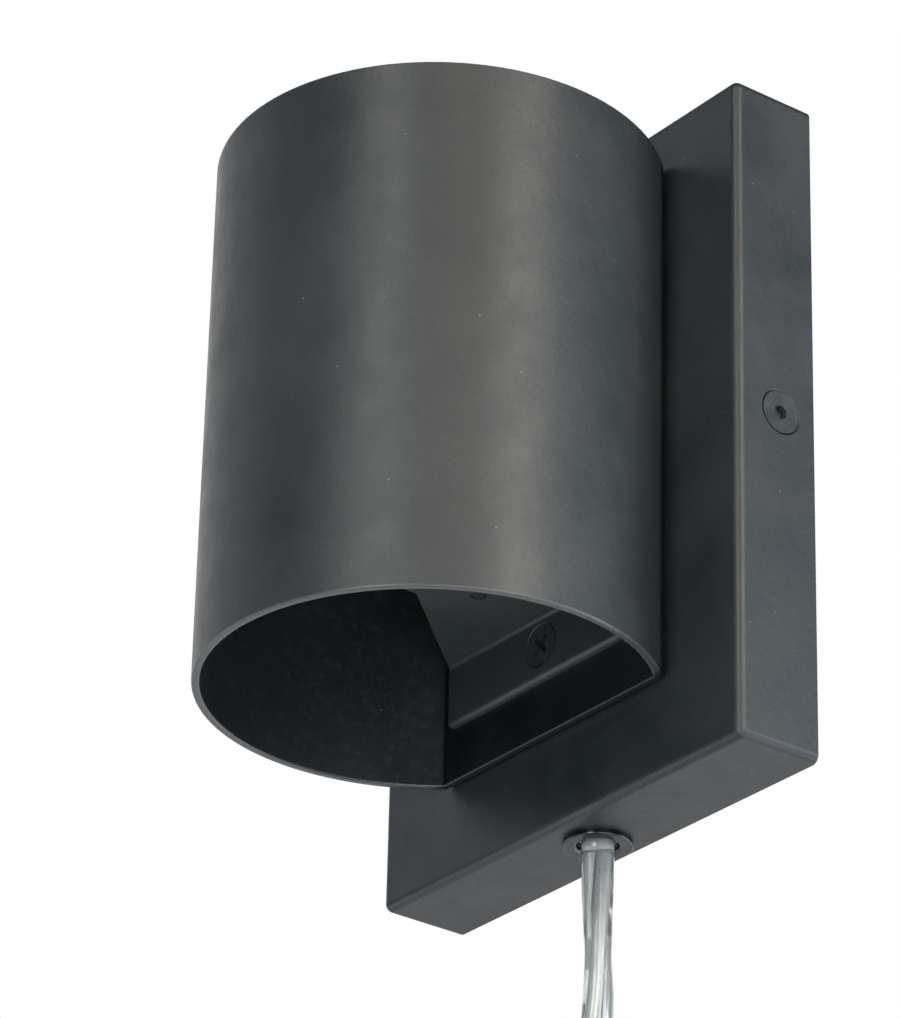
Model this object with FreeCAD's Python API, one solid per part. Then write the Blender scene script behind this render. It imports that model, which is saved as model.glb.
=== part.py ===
import FreeCAD, Part
import math
import os
from FreeCAD import Vector

# A plug-in wall lamp: a D-shaped steel tube, open at the top and the bottom, stands on a flat
# steel box that screws over a wall bracket. A clear cord leaves the box through a small gland.
# Millimetres. The wall is the plane y = 0 and the lamp stands out along -Y. Z is up.
# The origin is the middle of the bracket's two wall screws, which is also the box's mid height.

# Box, folded and welded from sheet
box_width = 100.0
box_height = 130.0
box_depth = 17.5
box_sheet = 1.2
box_edge_radius = 1.6

# Tube with a flat back
tube_diameter = 82.0
tube_height = 103.0
tube_wall = 1.5
tube_centre_to_back = 27.5
tube_above_box_bottom = 17.5
tube_corner_radius = 0.6
tube_end_radius = 0.35

# Spacer plate between the tube's back and the box
spacer_thickness = 0.5
spacer_width = 40.0
spacer_top_above_nipple = 14.0
spacer_bottom_below_screw = 9.0
spacer_corner_radius = 4.0

# Angle bracket inside the tube: an upright flange and a shelf that narrows to a tongue
bracket_sheet = 1.5
bracket_to_tube_side = 3.0
bracket_foot_above_tube_end = 10.3
shelf_above_tube_end = 22.0
shelf_taper_length = 23.0
shelf_length = 39.5
tongue_width = 12.5
bracket_bend_radius = 0.8
bracket_edge_radius = 1.0

# Screws and their holes
shank_clearance = 0.15
thread_clearance = 0.05
head_clearance = 0.15
screw_rim = 0.15
m4 = 4.0
m4_head = 8.0
m4_nut_flats = 7.0
m4_nut_height = 3.2
m4_washer = 9.0
m4_washer_thickness = 0.8
tube_screw_length = 12.0
tube_screw_above_tube_end = 16.8
side_screw_length = 10.0
side_screw_from_wall = 7.5
side_screw_sink = 0.1
hex_socket = 2.5
hex_socket_depth = 1.4
cross_span = 4.4
cross_slot = 1.0
cross_depth = 1.5

# Wall bracket: a strap with two ears, and a rivet nut in each ear
strap_sheet = 1.5
strap_height = 30.0
strap_bend_radius = 1.0
ear_length = 13.0
slot_spacing = 60.0
slot_length = 12.0
slot_width = 4.6
rivet_nut_flange = 8.4
rivet_nut_flange_thickness = 1.0
rivet_nut_body = 5.6
rivet_nut_length = 5.5
rivet_nut_to_box = 0.2

# Hollow threaded nipple that carries the wires from the box into the tube
nipple_diameter = 10.0
nipple_bore = 7.0
nipple_above_shelf = 14.0
nipple_nut_flats = 14.0
nipple_nut_height = 3.0
nipple_stick_out = 0.8
liner_wall = 0.7
liner_flange = 9.0
liner_flange_thickness = 0.8

# Lampholder for a push-in lamp with two wire loops, 9 mm apart
holder_width = 12.5
holder_foot_length = 27.0
holder_foot_height = 4.5
holder_block_length = 15.0
holder_height = 18.0
holder_screw_spacing = 21.0
pin_spacing = 9.0
contact_slot_length = 4.0
contact_slot_width = 2.6
contact_slot_depth = 9.0
contact_sheet = 0.3
contact_gap = 0.15
m3 = 3.0
m3_head = 5.5
m3_head_height = 1.8
m3_slot_width = 0.8
m3_slot_depth = 0.9
holder_screw_short = 0.2

# Lamp capsule
pin_wire = 0.9
pin_loop_width = 2.4
pin_length = 6.5
lamp_base_length = 14.0
lamp_base_width = 9.0
lamp_base_height = 9.0
lamp_base_radius = 1.5
lamp_collar_height = 4.0
lamp_diameter = 15.0
lamp_glass_height = 34.0
lamp_glass_wall = 1.0
seat_gap = 0.1

# Terminal block above the nipple, with two brass ways
block_width = 18.0
block_depth = 12.0
block_length = 20.0
block_above_nipple = 22.0
block_edge_radius = 1.0
way_spacing = 8.0
way_diameter = 4.6
way_bore = 2.8
clamp_screw = 2.6
clamp_screw_inset = 4.6
block_screw_short = 0.2

# Cord gland in the bottom of the box
gland_from_wall = 7.5
gland_flange = 12.6
gland_flange_thickness = 1.0
gland_flange_edge = 0.3
gland_mouth_radius = 0.7
gland_thread = 10.0
gland_bore = 7.4
gland_barrel = 9.0
gland_nut_flats = 13.0
gland_nut_height = 3.0
bush_recess = 1.5
bush_clearance = 0.1

# Cord, with its two cores
cord_diameter = 5.2
core_diameter = 1.9
lamp_wire_diameter = 1.6
thin_wire_sides = 8
clamp_width = 16.0
clamp_depth = 9.0
clamp_gap = 0.4
clamp_height = 8.0
clamp_screw_spacing = 10.6
m25 = 2.5
m25_head = 4.5
m25_head_height = 1.5
m25_slot_width = 0.7
m25_slot_depth = 0.7

# Coil of the length that is put away, its axis along X, and the tie round it
coil_inner_radius = 26.0
coil_pitch = 6.6
coil_centre_below_box = 95.0
tail_beside_coil = 11.8
tie_width = 8.0
tie_thickness = 1.0
tie_clearance = 0.35
tie_corner_radius = 1.5

# Hand switch in the cord, after the coil
switch_length = 60.0
switch_width = 24.0
switch_thickness = 16.0
switch_end_radius = 7.0
switch_edge_radius = 2.0
rocker_radius = 6.8
rocker_width = 9.4
rocker_gap = 0.3
rocker_pivot_depth = 3.6
rocker_tilt = 9.0
rocker_trunnion = 2.4
rocker_trunnion_length = 1.4
switch_screw_spacing = 44.0
switch_screw_length = 9.0

# Two-pin plug
u_bend_radius = 27.0
u_bend_straight = 3.0
plug_width = 35.3
plug_thickness = 13.7
plug_corner_radius = 5.5
plug_front_length = 9.0
plug_waist_width = 20.0
plug_waist_thickness = 11.0
plug_waist_radius = 4.6
plug_body_length = 34.0
plug_rear_width = 11.0
plug_rear_thickness = 9.6
plug_rear_radius = 4.0
relief_length = 18.0
relief_front = 8.6
relief_rear = 6.8
plug_pin = 4.0
plug_pin_core = 3.2
plug_pin_sleeve = 3.6
plug_pin_length = 19.0
plug_pin_sleeve_length = 9.0
plug_pin_base_spacing = 18.6
plug_pin_tip_spacing = 17.5
plug_pin_root = 6.0
plug_pin_tip_edge = 0.6

# How far a cutter runs past what it cuts
overrun = 1.0

# Head width, head height, slot width and slot depth of the two sizes of slotted screw
m3_slotted = (m3_head, m3_head_height, m3_slot_width, m3_slot_depth)
m25_slotted = (m25_head, m25_head_height, m25_slot_width, m25_slot_depth)

X = Vector(1, 0, 0)
Y = Vector(0, 1, 0)
Z = Vector(0, 0, 1)

# Planes and heights that the pieces share
box_face = -box_depth
box_inner_face = box_face + box_sheet
box_bottom = -box_height / 2
box_floor = box_bottom + box_sheet
tube_back = box_face - spacer_thickness
tube_inner_back = tube_back - tube_wall
tube_axis = Vector(0, tube_back - tube_centre_to_back, 0)
tube_bottom = box_bottom + tube_above_box_bottom
tube_top = tube_bottom + tube_height
shelf_underside = tube_bottom + shelf_above_tube_end
shelf_top = shelf_underside + bracket_sheet
flange_face = tube_inner_back - bracket_sheet
tube_screw_height = tube_bottom + tube_screw_above_tube_end
nipple_height = shelf_top + nipple_above_shelf
block_bottom = nipple_height + block_above_nipple
gland_face = box_bottom - gland_flange_thickness
coil_height = box_bottom - coil_centre_below_box

os.makedirs("parts", exist_ok=True)


def save(name, solids):
    """Writes one piece, or a group of like pieces, as parts/name.step."""
    Part.makeCompound(solids).exportStep(os.path.join("parts", name + ".step"))


def block(low, high):
    return Part.makeBox(high.x - low.x, high.y - low.y, high.z - low.z, low)


def rod(base, axis, diameter, length):
    return Part.makeCylinder(diameter / 2, length, base, axis)


def ring(base, axis, outer, inner, length):
    return rod(base, axis, outer, length).cut(rod(base, axis, inner, length))


def taper(base, axis, first, last, length):
    return Part.makeCone(first / 2, last / 2, length, base, axis)


def prism(base, axis, towards, outline, length):
    """The outline, in (towards, sideways) pairs round the base point, pushed along the axis."""
    sideways = axis.cross(towards)
    points = [base + towards * a + sideways * b for a, b in outline]
    return Part.Face(Part.makePolygon(points + points[:1])).extrude(axis * length)


def hexagon(flats):
    """Corner points of a hexagon with that width across its flats, the first on the first axis."""
    radius = flats / math.sqrt(3)
    angles = [math.radians(60 * i) for i in range(6)]
    return [(radius * math.cos(a), radius * math.sin(a)) for a in angles]


def cross(span, slot):
    """Corner points of a plus sign."""
    a = span / 2
    b = slot / 2
    quarter = [(a, -b), (a, b), (b, b)]
    points = []
    for turn in range(4):
        c = round(math.cos(math.radians(90 * turn)))
        s = round(math.sin(math.radians(90 * turn)))
        points += [(c * p - s * q, s * p + c * q) for p, q in quarter]
    return points


def slot(length, width):
    """Corner points of a screw's straight slot."""
    a = length / 2
    b = width / 2
    return [(-a, -b), (a, -b), (a, b), (-a, b)]


def nut(base, axis, towards, flats, bore, height):
    return prism(base, axis, towards, hexagon(flats), height).cut(rod(base, axis, bore, height))


def rounded_outline(centre, along, across, length, width, radius):
    """Closed wire of a rectangle with round corners: four lines and four quarter circles."""
    a = length / 2
    b = width / 2
    edges = []
    for i, (p, q) in enumerate(((1, 1), (-1, 1), (-1, -1), (1, -1))):
        pivot = centre + along * (p * (a - radius)) + across * (q * (b - radius))
        diagonal = (along * p + across * q) * (radius / math.sqrt(2))
        first = pivot + (along * (p * radius) if i % 2 == 0 else across * (q * radius))
        last = pivot + (across * (q * radius) if i % 2 == 0 else along * (p * radius))
        edges.append(Part.Arc(first, pivot + diagonal, last).toShape())
    joined = []
    for i, arc in enumerate(edges):
        joined.append(arc)
        start = arc.lastVertex().Point
        joined.append(Part.LineSegment(start, edges[(i + 1) % 4].firstVertex().Point).toShape())
    return Part.Wire(joined)


def rounded_plate(centre, along, across, length, width, radius, push):
    return Part.Face(rounded_outline(centre, along, across, length, width, radius)).extrude(push)


def edges_where(shape, test):
    """The shape's edges whose two ends both pass the test."""
    return [e for e in shape.Edges if all(test(v.Point) for v in e.Vertexes)]


def near(a, b):
    return math.isclose(a, b, abs_tol=box_sheet / 1000)


def countersunk_screw(top, axis, head, shank, length, socket):
    """A flat 90 degree head whose face is at top, its shank along the axis, and a socket cut in it."""
    sink = (head - shank) / 2
    solid = rod(top, axis, head, screw_rim)
    solid = solid.fuse(taper(top + axis * screw_rim, axis, head, shank, sink))
    solid = solid.fuse(rod(top + axis * screw_rim, axis, shank, length - screw_rim))
    return solid.cut(socket).removeSplitter()


def countersunk_hole(surface, axis, head, bore, sunk, depth):
    """What is cut for that screw when its head face lies sunk below the surface."""
    mouth = head + 2 * (head_clearance + screw_rim + sunk)
    solid = taper(surface, axis, mouth, bore, (mouth - bore) / 2)
    return solid.fuse(rod(surface - axis * overrun, axis, bore, depth + overrun))


def slotted_screw(seat, axis, head_sizes, shank, length):
    """A pan head that stands on the seat, its shank along the axis, with a straight slot."""
    head, head_height, slot_width, slot_depth = head_sizes
    top = seat - axis * head_height
    solid = rod(top, axis, head, head_height)
    solid = solid.fuse(rod(seat, axis, shank, length)).removeSplitter()
    towards = axis.cross(Z) if abs(axis.z) < 1 else X
    return solid.cut(prism(top, axis, towards, slot(2 * head, slot_width), slot_depth))


def mirrored(shape):
    return shape.mirror(Vector(0, 0, 0), X)


def unit(v):
    return v * (1 / v.Length)


def route(points):
    """Straight runs joined by tangent arcs, each as large as its two runs allow, and their radii."""
    run_share = 0.45
    edges = []
    radii = []
    start = points[0]
    for before, corner, after in zip(points, points[1:], points[2:]):
        back = unit(before - corner)
        on = unit(after - corner)
        reach = run_share * min((before - corner).Length, (after - corner).Length)
        half_turn = (math.pi - back.getAngle(on)) / 2
        radius = reach / math.tan(half_turn)
        inward = unit(back + on)
        middle = corner + inward * (radius / math.cos(half_turn) - radius)
        edges.append(Part.LineSegment(start, corner + back * reach).toShape())
        edges.append(Part.Arc(corner + back * reach, middle, corner + on * reach).toShape())
        start = corner + on * reach
        radii.append(radius)
    edges.append(Part.LineSegment(start, points[-1]).toShape())
    return Part.Wire(edges), radii


def tube_along(path, diameter, sides=0):
    """A solid tube whose centreline is the path, round or with that many sides, and its section's area."""
    first = path.Edges[0]
    start = first.valueAt(first.FirstParameter)
    heading = first.tangentAt(first.FirstParameter)
    radius = diameter / 2
    section = Part.Wire(Part.Circle(start, heading, radius).toShape())
    if sides:
        sideways = heading.cross(X)
        angles = [2 * math.pi * (i + 0.5) / sides for i in range(sides)]
        corners = [start + X * (radius * math.cos(a)) + sideways * (radius * math.sin(a)) for a in angles]
        section = Part.makePolygon(corners + corners[:1])
    return path.makePipeShell([section], True, False), Part.Face(section).Area


def cord(name, points, diameter, sides=0):
    """The solid tube along a route. Prints its bends and how well its volume fits its length."""
    path, radii = route(points)
    solid, area = tube_along(path, diameter, sides)
    share = solid.Volume / (area * path.Length)
    print(name, "arc radii", [round(r, 1) for r in radii], "volume share", round(share, 4))
    return solid


def wall_box():
    """Front and four sides in one, open at the wall, with round outer edges."""
    half = box_width / 2
    solid = block(Vector(-half, box_face, box_bottom), Vector(half, 0, -box_bottom))
    at_wall = edges_where(solid, lambda p: near(p.y, 0))
    rounded = [e for e in solid.Edges if not any(e.isSame(w) for w in at_wall)]
    solid = solid.makeFillet(box_edge_radius, rounded)
    inside = block(
        Vector(-half + box_sheet, box_inner_face, box_floor),
        Vector(half - box_sheet, overrun, -box_floor),
    )
    solid = solid.cut(inside)
    for side in (1, -1):
        surface = Vector(side * half, -side_screw_from_wall, 0)
        bore = m4 + 2 * shank_clearance
        hole = countersunk_hole(surface, X * -side, m4_head, bore, side_screw_sink, side_screw_length)
        solid = solid.cut(hole)
    start = Vector(0, -gland_from_wall, box_bottom - overrun)
    solid = solid.cut(rod(start, Z, gland_thread + 2 * shank_clearance, box_sheet + 2 * overrun))
    for height, size in ((tube_screw_height, m4), (nipple_height, nipple_diameter)):
        start = Vector(0, box_face - overrun, height)
        solid = solid.cut(rod(start, Y, size + 2 * shank_clearance, box_sheet + 2 * overrun))
    start = Vector(0, box_face - overrun, block_bottom + block_length / 2)
    return solid.cut(rod(start, Y, m3, box_sheet + 2 * overrun))


def ear_outer_face():
    return box_width / 2 - box_sheet - rivet_nut_to_box - rivet_nut_flange_thickness


def wall_bracket():
    """Strap on the wall with an ear turned out at each end, two wall slots and the ears' nut holes."""
    reach = ear_outer_face()
    half = strap_height / 2
    solid = block(Vector(-reach, -ear_length, -half), Vector(reach, 0, half))
    inner = reach - strap_sheet
    low = Vector(-inner, -ear_length - overrun, -half - overrun)
    solid = solid.cut(block(low, Vector(inner, -strap_sheet, half + overrun)))
    bends = edges_where(solid, lambda p: near(p.y, 0) and near(abs(p.x), reach))
    bends = [e for e in bends if near(e.Length, strap_height)]
    solid = solid.makeFillet(strap_bend_radius + strap_sheet, bends)
    bends = edges_where(solid, lambda p: near(p.y, -strap_sheet) and near(abs(p.x), inner))
    solid = solid.makeFillet(strap_bend_radius, [e for e in bends if near(e.Length, strap_height)])
    for side in (1, -1):
        middle = Vector(side * slot_spacing / 2, overrun, 0)
        push = Vector(0, -strap_sheet - 2 * overrun, 0)
        flat = slot_length - slot_width
        cutter = block(
            middle + Vector(-flat / 2, push.y, -slot_width / 2),
            middle + Vector(flat / 2, 0, slot_width / 2),
        )
        for end in (1, -1):
            cutter = cutter.fuse(rod(middle + X * (end * flat / 2), Y * -1, slot_width, -push.y))
        solid = solid.cut(cutter)
        ear = Vector(side * (inner - overrun), -side_screw_from_wall, 0)
        solid = solid.cut(rod(ear, X * side, rivet_nut_body, strap_sheet + 2 * overrun))
    return solid


def rivet_nut():
    """Flange outside the right ear, body through it, and a countersunk mouth for the screw."""
    face = ear_outer_face() + rivet_nut_flange_thickness
    start = Vector(face, -side_screw_from_wall, 0)
    inwards = X * -1
    solid = rod(start, inwards, rivet_nut_flange, rivet_nut_flange_thickness)
    solid = solid.fuse(rod(start, inwards, rivet_nut_body, rivet_nut_length))
    surface = Vector(box_width / 2, -side_screw_from_wall, 0)
    bore = m4 + 2 * thread_clearance
    mouth = countersunk_hole(surface, inwards, m4_head, bore, side_screw_sink, side_screw_length)
    return solid.cut(mouth).removeSplitter()


def side_screw():
    """Countersunk screw with a hexagon socket, through the box's right side."""
    top = Vector(box_width / 2 - side_screw_sink, -side_screw_from_wall, 0)
    socket = prism(top, X * -1, Z, hexagon(hex_socket), hex_socket_depth)
    return countersunk_screw(top, X * -1, m4_head, m4, side_screw_length, socket)


def half_chord(radius, back):
    """Half the width of the flat that cuts a circle round the tube's axis at that depth."""
    return math.sqrt(radius**2 - (back - tube_axis.y) ** 2)


def d_section(radius, back):
    """Closed wire of a circle round the tube's axis, cut off by a straight back."""
    half = half_chord(radius, back)
    left = Vector(-half, back, 0)
    right = Vector(half, back, 0)
    front = tube_axis - Y * radius
    arc = Part.Arc(left, front, right).toShape()
    return Part.Wire([arc, Part.LineSegment(right, left).toShape()])


def tube():
    """The D-shaped tube: an arc and a flat back, with the wall inside them."""
    outer = Part.Face(d_section(tube_diameter / 2, tube_back)).extrude(Z * tube_height)
    corners = edges_where(outer, lambda p: near(p.y, tube_back))
    outer = outer.makeFillet(tube_corner_radius, [e for e in corners if near(e.Length, tube_height)])
    section = Part.Face(d_section(tube_diameter / 2 - tube_wall, tube_inner_back))
    inner = section.extrude(Z * (tube_height + 2 * overrun))
    inner.translate(Z * -overrun)
    solid = outer.cut(inner)
    ends = edges_where(solid, lambda p: near(p.z, 0))
    ends += edges_where(solid, lambda p: near(p.z, tube_height))
    solid = solid.makeFillet(tube_end_radius, ends)
    solid.translate(Z * tube_bottom)
    start = Vector(0, tube_inner_back - overrun, nipple_height)
    solid = solid.cut(rod(start, Y, nipple_diameter + 2 * shank_clearance, tube_wall + 2 * overrun))
    return solid.cut(tube_screw_hole())


def tube_screw_hole():
    surface = Vector(0, flange_face, tube_screw_height)
    return countersunk_hole(surface, Y, m4_head, m4 + 2 * shank_clearance, 0, tube_screw_length)


def tube_screw():
    """Countersunk screw with a cross recess that holds bracket, tube, spacer and box together."""
    top = Vector(0, flange_face, tube_screw_height)
    turned = unit(X + Z)
    recess = prism(top, Y, turned, cross(cross_span, cross_slot), cross_depth)
    return countersunk_screw(top, Y, m4_head, m4, tube_screw_length, recess)


def tube_screw_washer():
    start = Vector(0, box_inner_face, tube_screw_height)
    return ring(start, Y, m4_washer, m4 + 2 * shank_clearance, m4_washer_thickness)


def tube_screw_nut():
    start = Vector(0, box_inner_face + m4_washer_thickness, tube_screw_height)
    return nut(start, Y, X, m4_nut_flats, m4 + 2 * thread_clearance, m4_nut_height)


def spacer():
    """Thin plate that keeps the tube's back off the box's paint, holed for screw and nipple."""
    top = nipple_height + spacer_top_above_nipple
    bottom = tube_screw_height - spacer_bottom_below_screw
    centre = Vector(0, box_face, (top + bottom) / 2)
    push = Vector(0, -spacer_thickness, 0)
    solid = rounded_plate(centre, X, Z, spacer_width, top - bottom, spacer_corner_radius, push)
    for height, size in ((tube_screw_height, m4), (nipple_height, nipple_diameter)):
        start = Vector(0, tube_back - overrun, height)
        solid = solid.cut(rod(start, Y, size + 2 * shank_clearance, spacer_thickness + 2 * overrun))
    return solid


def lamp_bracket():
    """Upright flange on the tube's back, folded forward into a shelf that narrows to a tongue."""
    half = half_chord(tube_diameter / 2 - tube_wall, tube_inner_back) - bracket_to_tube_side
    foot = tube_bottom + bracket_foot_above_tube_end
    flange = block(Vector(-half, flange_face, foot), Vector(half, tube_inner_back, shelf_top))
    tongue = tongue_width / 2
    nose = tongue / 2
    outline = [
        (half, 0),
        (half, bracket_sheet),
        (tongue, bracket_sheet + shelf_taper_length),
        (tongue, bracket_sheet + shelf_length - nose),
        (nose, bracket_sheet + shelf_length),
    ]
    outline += [(-a, b) for a, b in reversed(outline)]
    points = [Vector(a, tube_inner_back - b, shelf_underside) for a, b in outline]
    shelf = Part.Face(Part.makePolygon(points + points[:1])).extrude(Z * bracket_sheet)
    solid = flange.fuse(shelf).removeSplitter()
    outer = edges_where(solid, lambda p: near(p.y, tube_inner_back) and near(p.z, shelf_top))
    outer = [e for e in outer if near(e.Length, 2 * half)]
    solid = solid.makeFillet(bracket_bend_radius + bracket_sheet, outer)
    inner = edges_where(solid, lambda p: near(p.y, flange_face) and near(p.z, shelf_underside))
    solid = solid.makeFillet(bracket_bend_radius, [e for e in inner if near(e.Length, 2 * half)])
    lower = edges_where(solid, lambda p: near(p.y, flange_face) and near(p.z, foot))
    solid = solid.makeFillet(bracket_edge_radius, [e for e in lower if near(e.Length, 2 * half)])
    solid = solid.cut(tube_screw_hole())
    for side in (1, -1):
        start = Vector(0, tube_axis.y + side * holder_screw_spacing / 2, shelf_underside - overrun)
        solid = solid.cut(rod(start, Z, m3 + 2 * thread_clearance, bracket_sheet + 2 * overrun))
    return solid


def nipple_front():
    return tube_inner_back - nipple_nut_height - nipple_stick_out


def nipple_rear():
    return box_inner_face + nipple_nut_height + nipple_stick_out


def nipple():
    start = Vector(0, nipple_front(), nipple_height)
    return ring(start, Y, nipple_diameter, nipple_bore, nipple_rear() - nipple_front())


def nipple_nuts():
    bore = nipple_diameter + 2 * thread_clearance
    front = Vector(0, tube_inner_back - nipple_nut_height, nipple_height)
    rear = Vector(0, box_inner_face, nipple_height)
    return [nut(start, Y, Z, nipple_nut_flats, bore, nipple_nut_height) for start in (front, rear)]


def nipple_liner():
    """Plastic liner with a flange at the tube's side, so that no wire rubs on the thread's end."""
    outer = nipple_bore - 2 * thread_clearance
    inner = outer - 2 * liner_wall
    front = Vector(0, nipple_front(), nipple_height)
    solid = rod(front, Y, outer, nipple_rear() - nipple_front())
    flange_start = front - Y * liner_flange_thickness
    solid = solid.fuse(rod(flange_start, Y, liner_flange, liner_flange_thickness))
    return solid.cut(rod(flange_start, Y, inner, nipple_rear() - flange_start.y)).removeSplitter()


def contact_slots():
    """The two slots in the lampholder's top, as solids to cut."""
    top = shelf_top + holder_height
    cutters = []
    for side in (1, -1):
        middle = tube_axis + Vector(0, side * pin_spacing / 2, top)
        low = middle - Vector(contact_slot_width / 2, contact_slot_length / 2, contact_slot_depth)
        high = middle + Vector(contact_slot_width / 2, contact_slot_length / 2, overrun)
        cutters.append(block(low, high))
    return cutters


def lampholder():
    """Ceramic block on a foot that is screwed to the tongue, with two slots for the lamp's loops."""
    centre = tube_axis + Z * shelf_top
    width = holder_width
    foot = Z * holder_foot_height
    body = Z * holder_height
    solid = rounded_plate(centre, Y, X, holder_foot_length, width, block_edge_radius, foot)
    solid = solid.fuse(rounded_plate(centre, Y, X, holder_block_length, width, block_edge_radius, body))
    solid = solid.removeSplitter()
    for cutter in contact_slots():
        solid = solid.cut(cutter)
    for side in (1, -1):
        start = centre + Y * (side * holder_screw_spacing / 2) - Z * overrun
        solid = solid.cut(rod(start, Z, m3 + 2 * shank_clearance, holder_foot_height + 2 * overrun))
    return solid


def contacts():
    """A folded strip in each slot: two leaves with the wire loop between them."""
    gap = pin_wire + 2 * contact_gap
    top = shelf_top + holder_height
    solids = []
    for side in (1, -1):
        middle = tube_axis + Vector(0, side * pin_spacing / 2, top)
        width = contact_slot_length - 2 * contact_sheet
        outer = gap + 2 * contact_sheet
        low = middle - Vector(outer / 2, width / 2, contact_slot_depth)
        high = middle + Vector(outer / 2, width / 2, -contact_sheet)
        inside_low = middle - Vector(gap / 2, width / 2 + overrun, contact_slot_depth - contact_sheet)
        inside_high = middle + Vector(gap / 2, width / 2 + overrun, overrun)
        solids.append(block(low, high).cut(block(inside_low, inside_high)))
    return solids


def holder_screws():
    """Two small screws down through the foot into the tongue's tapped holes, not quite through them."""
    length = holder_foot_height + bracket_sheet - holder_screw_short
    middle = tube_axis + Z * (shelf_top + holder_foot_height)
    seats = [middle + Y * (side * holder_screw_spacing / 2) for side in (1, -1)]
    return [slotted_screw(seat, Z * -1, m3_slotted, m3, length) for seat in seats]


def lamp_seat():
    return shelf_top + holder_height + seat_gap


def lamp_pins():
    """Two loops of wire in the plane of both pins."""
    half = (pin_loop_width - pin_wire) / 2
    top = lamp_seat() + lamp_base_height / 2
    low = lamp_seat() - pin_length + pin_wire / 2 + half
    loops = []
    for side in (1, -1):
        middle = tube_axis + Y * (side * pin_spacing / 2)
        a = middle + Vector(0, half, top)
        b = middle + Vector(0, half, low)
        c = middle + Vector(0, 0, low - half)
        d = middle + Vector(0, -half, low)
        e = middle + Vector(0, -half, top)
        edges = [Part.LineSegment(a, b), Part.Arc(b, c, d), Part.LineSegment(d, e)]
        path = Part.Wire([edge.toShape() for edge in edges])
        loops.append(tube_along(path, pin_wire, thin_wire_sides)[0])
    return loops


def lamp_base(pins):
    """Ceramic foot of the lamp with a round collar, cut where the wire loops are cast in."""
    centre = tube_axis + Z * lamp_seat()
    push = Z * lamp_base_height
    solid = rounded_plate(centre, Y, X, lamp_base_length, lamp_base_width, lamp_base_radius, push)
    solid = solid.fuse(rod(centre + push, Z, lamp_diameter, lamp_collar_height))
    for pin in pins:
        solid = solid.cut(pin)
    return solid


def lamp_glass():
    """Frosted tube with a round end, hollow and open at the collar."""
    base = tube_axis + Z * (lamp_seat() + lamp_base_height + lamp_collar_height)

    def dome(radius, height):
        straight = height - radius
        shell = rod(base, Z, 2 * radius, straight)
        return shell.fuse(Part.makeSphere(radius, base + Z * straight, Z, 0, 90, 360))

    outer = lamp_diameter / 2
    room = dome(outer - lamp_glass_wall, lamp_glass_height - lamp_glass_wall)
    return dome(outer, lamp_glass_height).cut(room)


def lamp_strip():
    """Carrier of the light source, standing on the collar inside the glass."""
    start = tube_axis + Z * (lamp_seat() + lamp_base_height + lamp_collar_height)
    width = lamp_diameter / 2
    thickness = lamp_glass_wall
    height = lamp_glass_height - lamp_diameter / 2 - lamp_glass_wall
    corner = Vector(width / 2, thickness / 2, 0)
    return block(start - corner, start + corner + Z * height)


def block_back():
    return box_inner_face


def way_places():
    """Middle of each brass way at the terminal block's lower end."""
    depth = block_back() + block_depth / 2
    return [Vector(side * way_spacing / 2, depth, block_bottom) for side in (-1, 1)]


def terminal_block():
    """Plastic body with two ways, a screw well over each clamp and one fixing hole."""
    middle = Vector(0, block_back(), block_bottom + block_length / 2)
    solid = rounded_plate(middle, X, Z, block_width, block_length, block_edge_radius, Y * block_depth)
    for place in way_places():
        solid = solid.cut(rod(place - Z * overrun, Z, way_diameter, block_length + 2 * overrun))
        for height in (clamp_screw_inset, block_length - clamp_screw_inset):
            well = place + Z * height
            solid = solid.cut(rod(well, Y, clamp_screw + 2 * shank_clearance, block_depth))
    hole = m3 + 2 * shank_clearance
    return solid.cut(rod(middle - Y * overrun, Y, hole, block_depth + 2 * overrun))


def terminal_ways():
    solids = []
    for place in way_places():
        solid = ring(place, Z, way_diameter, way_bore, block_length)
        for height in (clamp_screw_inset, block_length - clamp_screw_inset):
            solid = solid.cut(rod(place + Z * height, Y, clamp_screw + 2 * thread_clearance, way_diameter))
        solids.append(solid)
    return solids


def terminal_clamp_screws():
    solids = []
    top = block_back() + block_depth - m3_slot_depth
    for place in way_places():
        for height in (clamp_screw_inset, block_length - clamp_screw_inset):
            tip = place + Z * height + Y * (way_bore / 2 - clamp_screw_bite())
            solid = rod(tip, Y, clamp_screw, top - tip.y)
            outline = slot(2 * clamp_screw, m25_slot_width)
            cutter = prism(Vector(tip.x, top, tip.z), Y * -1, X, outline, m25_slot_depth)
            solids.append(solid.cut(cutter))
    return solids


def clamp_screw_bite():
    """How far a clamp screw reaches into its way, down to the core that it holds."""
    return (way_bore - core_diameter) / 2


def terminal_fixing_screw():
    seat = Vector(0, block_back() + block_depth, block_bottom + block_length / 2)
    length = block_depth + box_sheet - block_screw_short
    shank = m3 - 2 * thread_clearance
    return slotted_screw(seat, Y * -1, m3_slotted, shank, length)


def gland():
    """Turned metal gland: a thin round flange under the box and a threaded barrel through it."""
    start = Vector(0, -gland_from_wall, gland_face)
    flange = rod(start, Z, gland_flange, gland_flange_thickness)
    rim = edges_where(flange, lambda p: near(p.z, gland_face))
    flange = flange.makeFillet(gland_flange_edge, rim)
    solid = flange.fuse(rod(start, Z, gland_thread, gland_flange_thickness + gland_barrel))
    solid = solid.cut(rod(start, Z, gland_bore, gland_flange_thickness + gland_barrel)).removeSplitter()
    mouth = edges_where(solid, lambda p: near(p.z, gland_face) and near(p.x, gland_bore / 2))
    return solid.makeFillet(gland_mouth_radius, mouth)


def gland_bush():
    """Clear plastic bush that centres the cord in the barrel."""
    start = Vector(0, -gland_from_wall, gland_face + bush_recess)
    outer = gland_bore - 2 * bush_clearance
    inner = cord_diameter + 2 * bush_clearance
    return ring(start, Z, outer, inner, gland_flange_thickness + gland_barrel - bush_recess)


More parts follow.
